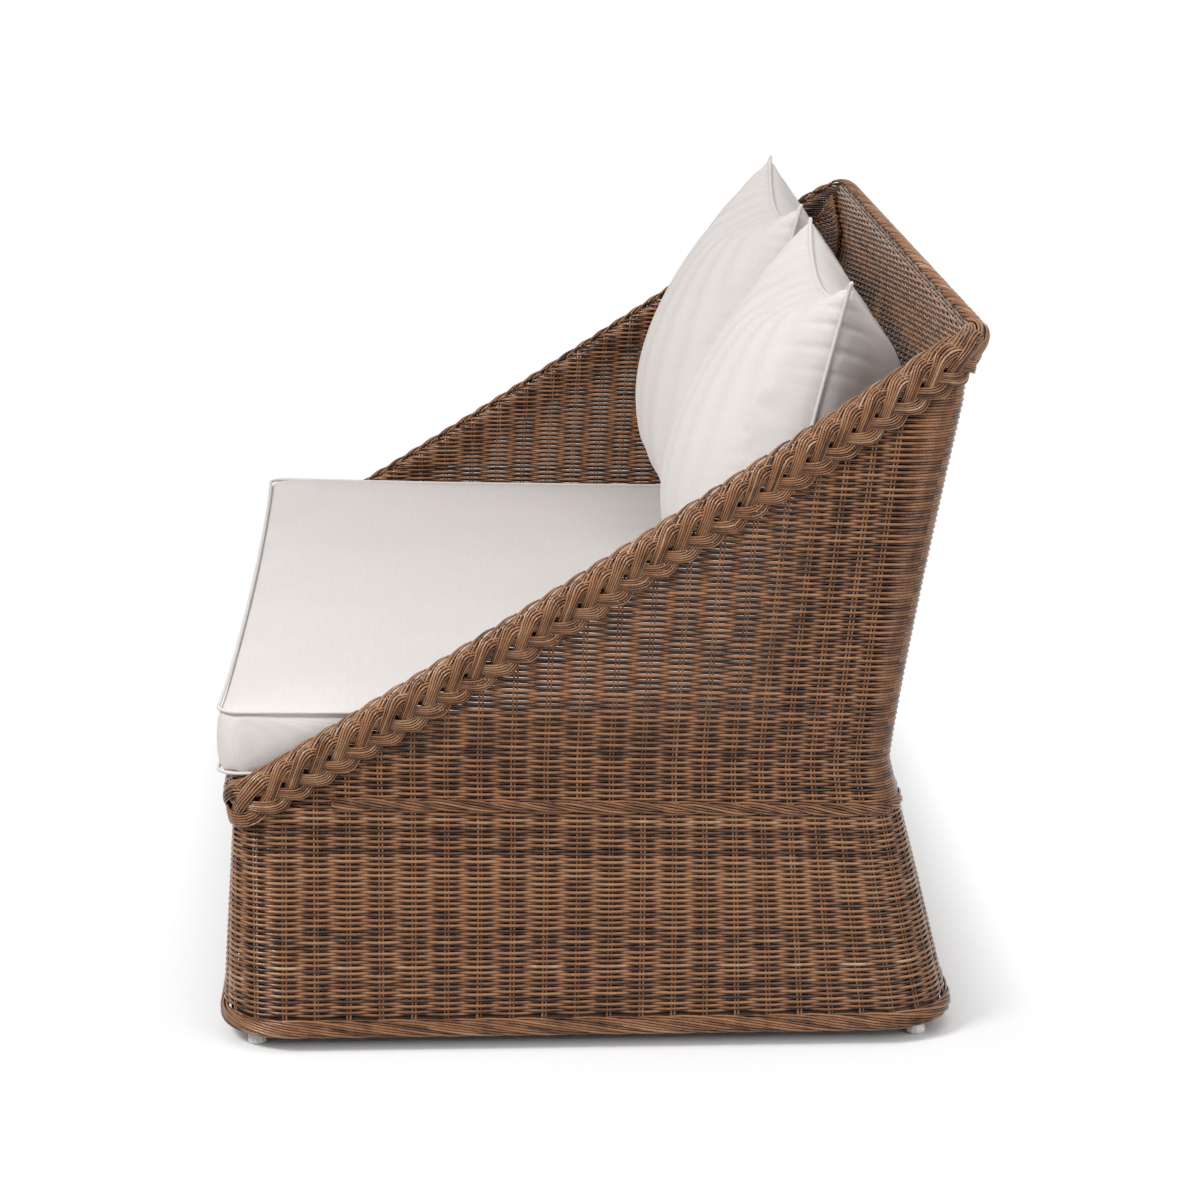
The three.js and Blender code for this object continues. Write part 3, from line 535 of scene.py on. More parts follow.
canes = cane_tree()
cane_finish = stained_cane()
chance = np.random.default_rng(7)


def at_vertices(mesh, name="co"):
    """A mesh's places or normals, or its values of an attribute."""
    source, key, width = mesh.vertices, name, 3
    if name in mesh.attributes:
        source = mesh.attributes[name].data
        key, width = ("vector", 3) if name == "outward" else ("value", 1)
    values = np.empty(len(source) * width)
    source.foreach_get(key, values)
    return values.reshape(-1, 3) if width == 3 else values


def paint_recess_shade(mesh):
    """Paints shade into the tone where a woven cane faces the gap between the two layers of the weave."""
    wrap, tone = at_vertices(mesh, "wrap"), at_vertices(mesh, "tone")
    depth = np.cos(math.pi * at_vertices(mesh, "phase")) * (1 - wrap) + wrap
    facing = (at_vertices(mesh, "normal") * at_vertices(mesh, "outward")).sum(1)
    painted_shade = np.clip(-facing * depth * painted_shade_gain - painted_shade_start, 0, 1)
    mesh.attributes["tone"].data.foreach_set("value", tone - painted_shade * (tone + painted_shade_below_black))


class Guides:
    """Guide lines for canes, with what the tree needs to know at each of their points."""

    def __init__(self):
        self.places = []
        self.values = {"outward": [], "tone": [], "phase": [], "wrap": []}

    def add(self, places, outward, tone, phase=0.0, wrap=0.0):
        count = len(places)
        if count < 2:
            return
        self.places.append(places)
        for values, value in zip(self.values.values(), (outward, tone, phase, wrap)):
            values.append(np.broadcast_to(value, (count, 3) if value is outward else count))

    def grow(self, name, radius, stands_for=(), in_out=0.0, material=cane_finish, slot="cane",
             sides=cane_sides, wander=cane_wander, wander_scale=70.0):
        counts = [len(places) for places in self.places]
        first = np.concatenate([np.arange(start, start + count - 1) for start, count in
                                zip(np.cumsum([0] + counts[:-1]), counts)])
        mesh = bpy.data.meshes.new(name)
        mesh.vertices.add(sum(counts))
        mesh.vertices.foreach_set("co", np.concatenate(self.places).ravel())
        mesh.edges.add(len(first))
        mesh.edges.foreach_set("vertices", np.stack([first, first + 1], -1).ravel())
        for attribute, values in self.values.items():
            kind, key = ("FLOAT_VECTOR", "vector") if attribute == "outward" else ("FLOAT", "value")
            data = mesh.attributes.new(attribute, kind, "POINT").data
            data.foreach_set(key, np.concatenate(values).ravel())
        piece = placed(name, mesh)
        weaving = piece.modifiers.new("canes", "NODES")
        weaving.node_group = canes
        inputs = {item.name: item.identifier for item in canes.interface.items_tree
                  if item.in_out == "INPUT"}
        for socket, value in (("Cane radius", radius), ("In and out", in_out), ("Hand wander", wander),
                              ("Wander scale", wander_scale), ("Sides", sides), ("Finish", material)):
            weaving[inputs[socket]] = value
        graph = bpy.context.evaluated_depsgraph_get()
        swept = bpy.data.meshes.new_from_object(piece.evaluated_get(graph))
        piece.modifiers.clear()
        piece.data = swept
        # Paints shade into the tone of woven canes where they face into the weave's recesses
        if in_out:
            paint_recess_shade(swept)
        for spare in ("phase", "wrap", "outward"):
            if spare in swept.attributes:
                swept.attributes.remove(swept.attributes[spare])
        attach(piece, "frame")
        if stands_for:
            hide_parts(*stands_for)


def grow_stakes(name, wall, bottom, top, skipped=()):
    guides = Guides()
    count = stake_counts[wall]
    z = np.arange(bottom, back_rim_height + stake_step * 4, stake_step)
    for stake in range(count):
        if stake in skipped:
            continue
        station = stake_station(wall, (stake + 0.5) / count, z)
        places, outward, turn = over_rim(wall, station, z, stake_inset)
        kept = (z <= top(places)) & (turn < stake_last_turn)
        places, outward = places[kept], outward[kept]
        along = normalised(np.cross(outward, np.gradient(places, axis=0)))
        for side in (-1, 1):
            guides.add(places + side * stake_spread * along, outward, chance.uniform(*stake_tones))
    guides.grow(name, stake_radius, wander=stake_wander)


for wall in walls:
    grow_stakes(f"skirt_stakes_{wall}", wall, border_height - stake_foot, seat_level)
for wall, skipped in stakes_left_to_posts.items():
    grow_stakes(f"wall_stakes_{wall}", wall, seat_height - seat_fall, lambda places: math.inf, skipped)


# Skirt. Plain weave of single canes over the stakes, from the border up to the wale, packed tight. It
# stands for the CAD skirt panels.
weaver_radius = 0.00186
weave_depth = 0.0020
row_pitch = 0.0032
steps_per_stake = 4
splice_length = 0.9
splice_sigma = 0.5
shortest_splice = 8
tone_spread = 3.2
row_passes = 3
bend_places = (-0.5, -0.3, -0.1, 0.1, 0.3, 0.5)
bend_shifts = (0, -0.04, 0, 0, 0.04, 0)
skirt_rows = int((seat_height - wale_half - border_height) / row_pitch)


def row_tones(length):
    """A cane's tone holds for its length, then the next cane takes over."""
    tones = np.empty(length)
    start = 0
    while start < length:
        stretch = int(splice_length * chance.lognormal(0, splice_sigma) / row_pitch / 2) + shortest_splice
        tones[start:start + stretch] = chance.beta(tone_spread, tone_spread)
        start += stretch
    return tones


def row_shares(wall):
    return np.linspace(0, 1, stake_counts[wall] * steps_per_stake + 1)


def row_phase(wall, share, row):
    return stake_starts[wall] + share * stake_counts[wall] - 0.5 + row


def row_places(wall, share, height_at):
    """Places of a row: its height follows the seat's fall, so it is settled in a few passes."""
    z = np.full(len(share), waist_height)
    for _ in range(row_passes):
        z = height_at(wall_place(wall, stake_station(wall, share, z), z, stake_inset)[0])
    station = stake_station(wall, share, z)
    return *wall_place(wall, station, z, stake_inset), station


def bent(phase):
    """Phases of a stiff cane, which bends at the stakes and runs nearly straight between them."""
    past = phase - np.round(phase)
    return phase + np.interp(past, bend_places, bend_shifts)


def weave(names, panel, wall, row_at, rows):
    """Weaves a wall's rows, in one piece for each name. The first piece stands for the CAD panel."""
    for part, name in enumerate(names):
        weavers = Guides()
        for row in range(part * rows // len(names), (part + 1) * rows // len(names)):
            weavers.add(*row_at(wall, row))
        weavers.grow(name, weaver_radius, [panel][part:], weave_depth)


def skirt_row(wall, row):
    share = row_shares(wall)
    risen = (row + 0.5) / skirt_rows
    places, outward, station = row_places(
        wall, share, lambda places: mix(border_height, seat_level(places) - wale_half, risen))
    kept = places[:, 2] < rim_at(wall, station)[0]
    return places[kept], outward[kept], row_tones(kept.sum()), bent(row_phase(wall, share, row)[kept])


for wall in walls:
    parts = ("lower", "upper") if wall in ("front", "back") else ("whole",)
    weave([f"skirt_weave_{wall}_{part}" for part in parts], f"skirt_{wall}", wall, skirt_row, skirt_rows)


# Upper walls. The same weave goes on from the wale up to the rim. At the back corners it wraps smoothly
# round the bent post, with no stake for a hand's breadth.
bare_stakes = 1.5
wrap_share = 0.75
wall_parts = {"right": 2, "back": 4, "left": 2}
# Painted shade: each upper wall's tones are scaled down for how light falls on it, most on the near right
# wall and least on the far left
painted_wall_shade = {"right": 0.72, "back": 0.80, "left": 0.88}
back_corner_ends = {"right": (1,), "back": (1, 0), "left": (0,)}
wall_bottom = seat_height + wale_half
spare_rows = 3
wall_rise = back_rim_height + curl_radius * row_last_turn - wall_bottom + seat_fall
wall_rows = int(wall_rise / row_pitch) + spare_rows


def upper_row(wall, row):
    share = row_shares(wall)
    rise = (row + 0.5) * row_pitch - wale_half
    z = row_places(wall, share, lambda places: seat_level(places) + rise)[0][:, 2]
    phase = row_phase(wall, share, row)
    wrap = np.zeros(len(share))
    run = stake_run(wall, share, z)
    length = sum(wall_stretches(wall, z))
    for end in back_corner_ends[wall]:
        edge = abs(end - bare_stakes / stake_counts[wall])
        past = np.clip((share - edge) / (end - edge), 0, 1)
        edge_run = stake_run(wall, np.full(len(share), edge), z)
        run = np.where(past > 0, mix(edge_run, length * end, past), run)
        wrap = np.maximum(wrap, smooth(past / wrap_share))
        phase = np.where(past > 0, row_phase(wall, edge, row), phase)
    places, outward, turn = over_rim(wall, run_station(wall, run, z), z, stake_inset)
    kept = turn < row_last_turn
    # The wall's painted shade is taken into the row's tones
    tones = painted_wall_shade[wall] * row_tones(kept.sum())
    return places[kept], outward[kept], tones, bent(phase[kept]), wrap[kept]


for wall, parts in wall_parts.items():
    names = [f"{wall}_wall_weave_{part + 1}" for part in range(parts)]
    weave(names, f"{wall}_wall", wall, upper_row, wall_rows)


# Back posts. Whole rattan poles, bent to the corners of the back from the ring up to the rim. The weave
# goes round the outside of them.
post_radius = 0.015
post_clearance = 0.003
post_inset = wall_thickness + post_radius + post_clearance
post_cover = 0.035
post_steps = 30
post_sides = 20
post_tone = 0.5

for side_name, station in (("right", last_station), ("left", 0)):
    low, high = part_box(f"back_post_{side_name}")
    z = np.linspace(low.z, high.z - post_cover, post_steps)
    post = Guides()
    post.add(*wall_place(side_name, np.full(post_steps, float(station)), z, post_inset), post_tone)
    post.grow(f"back_post_{side_name}_pole", post_radius, [f"back_post_{side_name}"], material=pole_finish,
              slot="pole", sides=post_sides, wander=0)


# Corner linings. Inside the back corners the weave is carried over the posts in a wide curve, from the
# side to the back, and closes in to the rim over their tops.
lining_radius = 0.124
lining_inset = 0.0105
lining_top_radius = 0.026
lining_closing = 0.045
lining_bottom = 0.385
lining_pitch = 0.0027
lining_steps = 36
lining_stake_pitch = 0.012
lining_depth = 0.0013
lining_cane_radius = 0.0017
lining_rows = int((back_rim_height - lining_bottom) / lining_pitch) + 1

rim_stations, rim_heights, _ = rim_tables["right"]
rim_backs = wall_place("right", rim_stations, rim_heights, 0)[0][:, 1]
turn = np.linspace(0, math.pi / 2, lining_steps)
for side_name, side in (("right", 1), ("left", -1)):
    lining = Guides()
    outward = np.stack([side * np.cos(turn), np.sin(turn), np.zeros(lining_steps)], -1)
    for row in range(lining_rows):
        z = np.full(lining_steps, lining_bottom + row * lining_pitch)
        y = back_face(z) - lining_inset - lining_radius * (1 - np.sin(turn))
        top = np.interp(y, rim_backs, rim_heights)
        radius = mix(lining_radius, lining_top_radius, smooth(1 - (top - z) / lining_closing))
        inset = lining_inset + drawn_in(z - top, stake_inset)
        x = side * (half_width(z) - inset - radius * (1 - np.cos(turn)))
        y = back_face(z) - inset - radius * (1 - np.sin(turn))
        kept = z < top
        phase = turn * lining_radius / lining_stake_pitch + row
        # The lining takes the back wall's painted shade
        tones = painted_wall_shade["back"] * row_tones(kept.sum())
        lining.add(np.stack([x, y, z], -1)[kept], outward[kept], tones, phase[kept])
    lining.grow(f"corner_lining_{side_name}", lining_cane_radius, in_out=lining_depth)


# Border. Six strands of three canes twist round each other and round the ring's foot, so the lower edge
# is lightly scalloped. It closes the bottom of the skirt.
border_middle = 0.028
border_twist = {"strands": 6, "strand_canes": 3, "cane_radius": 0.0015, "swing": 0.0062, "out": 0.0036,
                "inset": 0.0022, "tone": 0.85}
border_wander = 0.0008
twist_steps_per_stake = 5


def twisted_band(wall, height_at, strands, strand_canes, cane_radius, swing, out, inset, tone,
                 start=-math.inf):
    """Strands that twist round each other along a wall, as many stakes to a turn as there are strands."""
    guides = Guides()
    count = stake_counts[wall]
    share = np.linspace(0, 1, count * twist_steps_per_stake + 1)
    for strand in range(strands):
        turn = 2 * math.pi * ((stake_starts[wall] + share * count) / strands + strand / strands)
        for cane in range(strand_canes):
            z = np.full(len(share), waist_height)
            for _ in range(row_passes):
                middle = height_at(wall_place(wall, stake_station(wall, share, z), z, 0)[0])
                z = middle + swing * np.cos(turn) + (cane - (strand_canes - 1) / 2) * 2 * cane_radius
            flat, outward = wall_place(wall, stake_station(wall, share, middle), middle, inset)
            places = flat + out * np.sin(turn)[:, None] * outward
            places[:, 2] = z
            kept = flat[:, 1] > start
            guides.add(places[kept], outward[kept], tone * row_tones(kept.sum()))
    return guides


for wall in walls:
    band = twisted_band(wall, lambda places: np.full(len(places), border_middle), **border_twist)
    band.grow(f"border_twist_{wall}", border_twist["cane_radius"], [f"border_{wall}"], wander=border_wander)


# Wale. A band of four strands, of two canes each, twists round the stakes at the level of the seat, over
# the joint of skirt and upper wall. It starts a hand's breadth behind the front corner.
wale_twist = {"strands": 4, "strand_canes": 2, "cane_radius": 0.0015, "swing": 0.0048, "out": 0.0026,
              "inset": 0.0014, "tone": 0.72}
wale_setback = 0.105
wale_sides = 6

for wall in wall_parts:
    band = twisted_band(wall, seat_level, **wale_twist, start=seat_front + wale_setback)
    band.grow(f"wale_twist_{wall}", wale_twist["cane_radius"], [f"wale_{wall}"], sides=wale_sides)


# Plait. Flat bundles of six canes swing from edge to edge over the rim rail and dive under each other.
# The plait hangs over the rail down the wall outside. At its top the ends of the stakes come over the
# rail, in slanting groups, and run in under it.
bundle_canes = 6
bundle_count = 4
bundle_width = 0.0145
plait_cane_radius = 0.00121
plait_cane_pitch = 0.0029
plait_tone = 1.12
plait_wander = 0.0009
plait_wander_scale = 90
plait_pitch = 0.0296
plait_length = 0.114
plait_swing = 0.018
plait_top = 0.0085
plait_drop = 0.0085
plait_lift = 0.0028
plait_arch = 0.0016
plait_crossing = 0.3
plait_steps = 18
plait_inner_angle = math.radians(100)
plait_tuck = 0.005
tuck_height = 0.034
swing_sharpness = 0.82
turned_canes = 5
turned_steps = 12
turned_spread = 0.96
turned_reach = 0.0185
turned_top = -0.004
turned_bottom = 0.019
turned_radius = 0.0121
turned_arch = 0.0034
rim_corner_steps = 12
rim_straight_steps = 60
bundle_slope = 4 * plait_swing / plait_length
plait_middle = plait_swing + bundle_width * math.hypot(1, bundle_slope) / 2
wrap_length = plait_radius * plait_inner_angle
plait_hang = 2 * plait_middle - wrap_length
plait_range = 2 * plait_middle + plait_drop - plait_top
plait_centre = plait_top + plait_range / 2
plait_reach_down = (plait_range - bundle_canes * plait_cane_pitch) / 2

# A bundle's level by its turn. Going down it lies on top only near the lower edge, and going up from
# the crossing to the upper edge
quarter_turn = math.pi / 2
first_over = math.asin(plait_crossing)
second_over = math.pi - first_over
lowest = 3 * quarter_turn
easing = 0.5
lift_turns = [first_over, (first_over + quarter_turn) / 2, quarter_turn, (lowest - first_over) / 2,
              second_over, second_over + easing, lowest - easing, lowest, lowest + easing,
              2 * math.pi + first_over - easing, 2 * math.pi + first_over]
lift_levels = [0, 1, 0, -1, 0, 1, 1, 0.7, -0.8, -1, 0]


class RimPath:
    """The line of the rim rail round the sofa, with the directions that the plait wraps it in."""

    def __init__(self):
        corner = np.arange(rim_corner_steps) / rim_corner_steps
        straight = np.linspace(1, 2, rim_straight_steps + 1)
        station = np.concatenate([corner, straight, last_station - corner[:0:-1]])
        centres, rises = [], []
        for wall in walls:
            height = rim_at(wall, station)[0]
            centres.append(wall_place(wall, station, height, rim_inset)[0])
            rises.append(wall_place(wall, station, height, 0)[0]
                         - wall_place(wall, station, height - plait_hang, 0)[0])
        self.centre = np.concatenate(centres)
        following = np.roll(self.centre, -1, axis=0)
        along = normalised(following - np.roll(self.centre, 1, axis=0))
        self.outward = normalised(np.cross(along, np.concatenate(rises)))
        self.upward = normalised(np.cross(self.outward, along))
        steps = np.cumsum(np.linalg.norm(following - self.centre, axis=1))
        self.travelled = np.concatenate([[0], steps[:-1]])
        self.total = steps[-1]
        self.starts = [*self.travelled[::len(station)], self.total]

    def at(self, distance, values):
        return np.stack([np.interp(distance, self.travelled, part, period=self.total)
                         for part in values.T], -1)

    def plait_point(self, distance, down, proud):
        outward = normalised(self.at(distance, self.outward))
        upward = normalised(self.at(distance, self.upward))
        angle = np.where(down < wrap_length, plait_inner_angle - down / plait_radius, 0)
        hanging = np.maximum(down - wrap_length, 0)
        radius = plait_radius + proud - plait_tuck * smooth(hanging / tuck_height)
        place = (self.at(distance, self.centre) + outward * (radius * np.cos(angle))[:, None]
                 + upward * (radius * np.sin(angle) - hanging)[:, None])
        return place, outward * np.cos(angle)[:, None] + upward * np.sin(angle)[:, None]


rim_path = RimPath()
plait_lengths = round(rim_path.total / plait_pitch / bundle_count)
bundle_gap = rim_path.total / plait_lengths / bundle_count


def arched(cane, count, arch):
    """How far a cane of a flat bundle stands proud of the bundle's edges."""
    return arch * (1 - (2 * cane / (count - 1) - 1) ** 2)


def plait_guides(start, end):
    guides = Guides()
    distance = np.linspace(start, end, round((end - start) / bundle_gap * plait_steps / 3) + 1)
    for bundle in range(bundle_count):
        turn = 2 * math.pi * (distance / bundle_gap + bundle) / bundle_count
        swing = np.arcsin(swing_sharpness * np.sin(turn)) / math.asin(swing_sharpness)
        wrapped = (turn - first_over) % (2 * math.pi) + first_over
        lift = plait_lift * np.interp(wrapped, lift_turns, lift_levels)
        middle = plait_centre + plait_reach_down * swing
        for cane in range(bundle_canes):
            offset = (cane - (bundle_canes - 1) / 2) * plait_cane_pitch
            places, facing = rim_path.plait_point(
                distance, middle + offset, lift + arched(cane, bundle_canes, plait_arch))
            guides.add(places, facing, plait_tone * row_tones(len(distance)))
    share = np.linspace(0, 1, turned_steps)
    for group in range(math.ceil(start / bundle_gap - 0.5), math.ceil(end / bundle_gap - 0.5)):
        for cane in range(turned_canes):
            shift = (cane - (turned_canes - 1) / 2) * bundle_gap / turned_canes * turned_spread
            proud = turned_radius - plait_radius + arched(cane, turned_canes, turned_arch)
            places, facing = rim_path.plait_point(
                (group + 0.5) * bundle_gap + shift + turned_reach * (1 - 2 * share),
                mix(turned_top, turned_bottom, share), np.full(turned_steps, proud))
            guides.add(places, facing, plait_tone * chance.beta(tone_spread, tone_spread))
    return guides


for wall, start, end in zip(walls, rim_path.starts, rim_path.starts[1:]):
    plait_guides(start, end).grow(
        f"plait_{wall}", plait_cane_radius, [f"plait_{wall}_{bundle}" for bundle in "abc"],
        wander=plait_wander, wander_scale=plait_wander_scale)


# Seat deck. Canes run from side to side over rods, under the cushion, on the seat rails. It lies on the
# tilt of the seat.
deck_low, deck_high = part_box("seat_deck")
deck_thickness = 0.008
deck_back_radius = 0.088
deck_pitch = 0.0062
deck_cane_radius = 0.0028
deck_tone_spread = 2.2
deck_depth = 0.0016
deck_rod_pitch = 0.06
deck_rod_front = 0.004
deck_rod_back = 0.06
deck_rod_steps = 12
deck_rod_pairs = 10
deck_rod_tone = 0.4
deck_clearance = 0.0003
seat_rail_rise = 0.013
seat_top = seat_height + seat_rail_rise + deck_clearance
straight_up = (0, 0, 1)


def on_deck(x, y):
    return np.stack([x, y, seat_top + deck_thickness / 2 - seat_slope * (y - seat_front)], -1)


deck_canes = Guides()
for row in range(int((deck_high.y - deck_low.y) / deck_pitch) - 1):
    y = deck_low.y + (row + 1) * deck_pitch
    into = max(y - (deck_high.y - deck_back_radius), 0)
    half = deck_high.x - deck_back_radius + math.sqrt(deck_back_radius ** 2 - into ** 2)
    x = np.linspace(-half, half, 2 * int(2 * half / deck_rod_pitch) + 1)
    tone = chance.beta(deck_tone_spread, deck_tone_spread)
    deck_canes.add(on_deck(x, np.full_like(x, y)), straight_up, tone, x / deck_rod_pitch + row)
deck_canes.grow("deck_canes", deck_cane_radius, ["seat_deck"], deck_depth)
deck_rods = Guides()
y = np.linspace(deck_low.y + deck_rod_front, deck_high.y - deck_rod_back, deck_rod_steps)
for rod in range(-deck_rod_pairs, deck_rod_pairs + 1):
    deck_rods.add(on_deck(np.full_like(y, (rod + 0.5) * deck_rod_pitch), y), straight_up, deck_rod_tone)
deck_rods.grow("deck_rods", deck_cane_radius)


# Seat cushion. A boxed bench cushion in heavy white outdoor canvas over foam: crowned on top, with a
# piped welt round its top and its bottom edge and sides that swell between the welts.
canvas_white = (0.69, 0.655, 0.632, 1)
canvas_shade = (0.60, 0.557, 0.528, 1)
canvas_gap = (0.42, 0.385, 0.36, 1)
canvas_roughness = 0.92
canvas_sheen = 0.12
thread_pitch = 0.0019
thread_directions = (0.72, 0.70, 0.70), (0.72, -0.70, -0.70)
thread_relief = 0.35
slub_stretch = (0.08, 1, 1)
cushion_base = 0.0086
cushion_thickness = 0.072
cushion_crown = 0.008
cushion_bulge = 0.003
cushion_draw_in = 0.006
cushion_start_inset = 0.002
cushion_side_gap = 0.015
cushion_overhang = 0.012
cushion_back_gap = 0.005
cushion_half_width = waist_half_width - wall_thickness - cushion_side_gap
cushion_front = rim_inset - plait_reach - cushion_overhang
cushion_back = waist_back - wall_thickness - cushion_back_gap - seat_front
cushion_front_radius = 0.028
cushion_back_radius = 0.098
cushion_corner_share = 0.25
cushion_corner_growth = 0.3
cushion_corner_steps = 16
cushion_edge_steps = 60
under_shares = (1, 0.5, 0.15)
side_steps = 9
crown_shares = (0.03, 0.08, 0.15, 0.25, 0.38, 0.52, 0.68, 0.84, 1)
crown_run = cushion_back / 4
cushion_welt_radius = 0.0021
cushion_welt_out = 0.0004
cushion_welt_sink = 0.0005
cushion_welt_rise = 0.002
welt_levels = {"top": cushion_base + cushion_thickness - cushion_welt_sink,
               "bottom": cushion_base + cushion_welt_rise}
seat_tilt = math.atan(seat_slope)
fill_frames = 20
seam_smoothing = 12
cloth_settings = {
    "quality": 4, "mass": 0.25, "tension_stiffness": 22, "compression_stiffness": 22, "shear_stiffness": 6,
    "bending_stiffness": 0.4, "use_pressure": True}


def canvas(name, lean=0.0):
    """Heavy canvas: a fine twill, thicker slubs now and then across it, and a little soiling."""
    finish = Finish(name)
    finish.place = finish.lay("ShaderNodeMapping", {"Vector": finish.place, "Rotation": (lean, 0, 0)})

    def threads(direction):
        across = finish.vector_maths("DOT_PRODUCT", finish.place, direction, output="Value")
        return finish.maths("SINE", finish.maths("MULTIPLY", across, 2 * math.pi / thread_pitch))

    twill = finish.maths("MULTIPLY", *map(threads, thread_directions))
    stretched = finish.lay("ShaderNodeMapping", {"Vector": finish.place, "Scale": slub_stretch})
    slub = finish.noise(scale=330, detail=3, place=stretched)
    cloudy = finish.noise(scale=7, detail=3)
    clouded = finish.mixed(finish.between(cloudy, low=0, high=0.3), canvas_white, canvas_shade)
    streaked = finish.mixed(finish.between(slub, low=0, high=0.35), clouded, canvas_shade)
    gaps = finish.between(twill, low=0.22, high=0, from_low=-1, from_high=1)
    finish.feed(finish.shader, {"Sheen Weight": canvas_sheen})
    relief = finish.maths("MULTIPLY_ADD", twill, thread_relief, slub)
    return finish.shaded(finish.mixed(gaps, streaked, canvas_gap), canvas_roughness, relief,
                         strength=0.4, distance=0.0004)


def on_seat(outline, up):
    """Places of an outline, given across the seat and back along it, at a height over it."""
    across, back = outline.T
    cosine, sine = math.cos(seat_tilt), math.sin(seat_tilt)
    return np.stack([across, seat_front + back * cosine + up * sine,
                     seat_top + up * cosine - back * sine], -1)


def cushion_outline(inset, draw):
    """The cushion's outline in the seat's plane, inset from its edge and drawn in between corners."""
    corners = ((1, cushion_back, -1, cushion_back_radius), (-1, cushion_back, -1, cushion_back_radius),
               (-1, cushion_front, 1, cushion_front_radius), (1, cushion_front, 1, cushion_front_radius))
    arcs = []
    for quarter, (side, y, to_y, edge_radius) in enumerate(corners):
        least = edge_radius * cushion_corner_share + inset * cushion_corner_growth
        radius = np.maximum(edge_radius - inset, least)
        angle = (quarter + np.linspace(0, 1, cushion_corner_steps + 1)) * math.pi / 2
        arcs.append(np.stack([side * (cushion_half_width - (inset + radius)) + radius * np.cos(angle),
                              y + to_y * (inset + radius) + radius * np.sin(angle)], -1))
    points = []
    share = np.linspace(0, 1, cushion_edge_steps + 1)[1:-1, None]
    for quarter in range(4):
        start, end = arcs[quarter][-1], arcs[(quarter + 1) % 4][0]
        angle = (quarter + 1) * math.pi / 2
        inwards = np.array([-math.cos(angle), -math.sin(angle)])
        points += [arcs[quarter], mix(start, end, share) + inwards * draw * 4 * share * (1 - share)]
    return np.concatenate(points)


def cushion_rings():
    def ring(up, inset, draw):
        outline = cushion_outline(inset + cushion_start_inset, draw * cushion_draw_in)
        return on_seat(outline, cushion_base + up)

    rings = [ring(0, share * crown_run, 1 - share) for share in under_shares]
    for share in np.linspace(0, 1, side_steps):
        rings.append(ring(share * cushion_thickness, -cushion_bulge * 4 * share * (1 - share), 1))
    for share in crown_shares:
        crown = cushion_crown * (1 - (1 - share) ** 2)
        rings.append(ring(cushion_thickness + crown, share * crown_run, 1 - share))
    return rings


def rings_mesh(name, rings):
    """A closed mesh through rings of points, with its ends capped."""
    count = len(rings[0])
    faces = []
    for ring in range(len(rings) - 1):
        for k in range(count):
            a, b = ring * count + k, ring * count + (k + 1) % count
            faces.append((a, b, b + count, a + count))
    faces.append(tuple(reversed(range(count))))
    faces.append(tuple(range((len(rings) - 1) * count, len(rings) * count)))
    mesh = bpy.data.meshes.new(name)
    mesh.from_pydata(np.concatenate(rings).tolist(), [], faces)
    mesh.update()
    return mesh


def modify(piece, kind, **settings):
    modifier = piece.modifiers.new(kind, kind)
    for setting, value in settings.items():
        setattr(modifier, setting, value)
    bpy.ops.object.modifier_apply(modifier=modifier.name)


def blown_up(piece, start, pressure, cap):
    """How far each point of a bag moves when it is blown up as cloth, within a cap."""
    cloth = piece.modifiers.new("filling", "CLOTH")
    for setting, value in cloth_settings.items():
        setattr(cloth.settings, setting, value)
    cloth.settings.uniform_pressure_force = pressure
    cloth.settings.effector_weights.gravity = 0
    cloth.collision_settings.use_collision = False
    cloth.point_cache.frame_start = 1
    cloth.point_cache.frame_end = fill_frames
    for step in range(1, fill_frames + 1):
        bpy.context.scene.frame_set(step)
    swollen = piece.evaluated_get(bpy.context.evaluated_depsgraph_get())
    moved = at_vertices(swollen.data) - start
    piece.modifiers.remove(cloth)
    bpy.context.scene.frame_set(1)
    length = np.linalg.norm(moved, axis=1, keepdims=True)
    return moved * (cap * np.tanh(length / cap) / np.maximum(length, 1e-9))


def reshape(piece, places):
    piece.data.vertices.foreach_set("co", places.ravel())
    piece.data.update()


def filled(mesh, seams, voxel, pressure, cap, finish):
    """A bag that is remeshed, blown up and smoothed. Its seams go along with it."""
    piece = placed(mesh.name, mesh)
    bpy.context.view_layer.objects.active = piece
    modify(piece, "REMESH", mode="VOXEL", voxel_size=voxel)
    modify(piece, "SMOOTH", iterations=2)
    start = at_vertices(piece.data)
    moved = np.zeros_like(start)
    moved = blown_up(piece, start, pressure, cap)
    reshape(piece, start + moved)
    near = KDTree(len(start))
    for index, place in enumerate(start):
        near.insert(place, index)
    near.balance()
    carried = []
    for seam in seams:
        shift = moved[[near.find(place)[1] for place in seam]]
        for _ in range(seam_smoothing):
            shift = (np.roll(shift, 1, axis=0) + shift + np.roll(shift, -1, axis=0)) / 3
        carried.append(seam + shift)
    modify(piece, "SUBSURF", levels=1, render_levels=1)
    piece.data.materials.clear()
    piece.data.materials.append(finish)
    piece.data.shade_smooth()
    return piece, carried


def hand_over(bag, body):
    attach(bag, body)
    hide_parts(body)


def welt(name, path, radius, body, finish):
    """A cord sewn into a seam, closed round the piece."""
    curve = bpy.data.curves.new(name, "CURVE")
    curve.dimensions = "3D"
    curve.bevel_depth = radius
    curve.bevel_resolution = 2
    spline = curve.splines.new("POLY")
    spline.points.add(len(path) - 1)
    spline.points.foreach_set("co", np.column_stack([path, np.ones(len(path))]).ravel())
    spline.use_cyclic_u = True
    cord = placed(name, curve)
    mesh = bpy.data.meshes.new_from_object(cord)
    bpy.data.objects.remove(cord)
    piece = placed(name, mesh)
    mesh.materials.clear()
    mesh.materials.append(finish)
    mesh.shade_smooth()
    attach(piece, body)


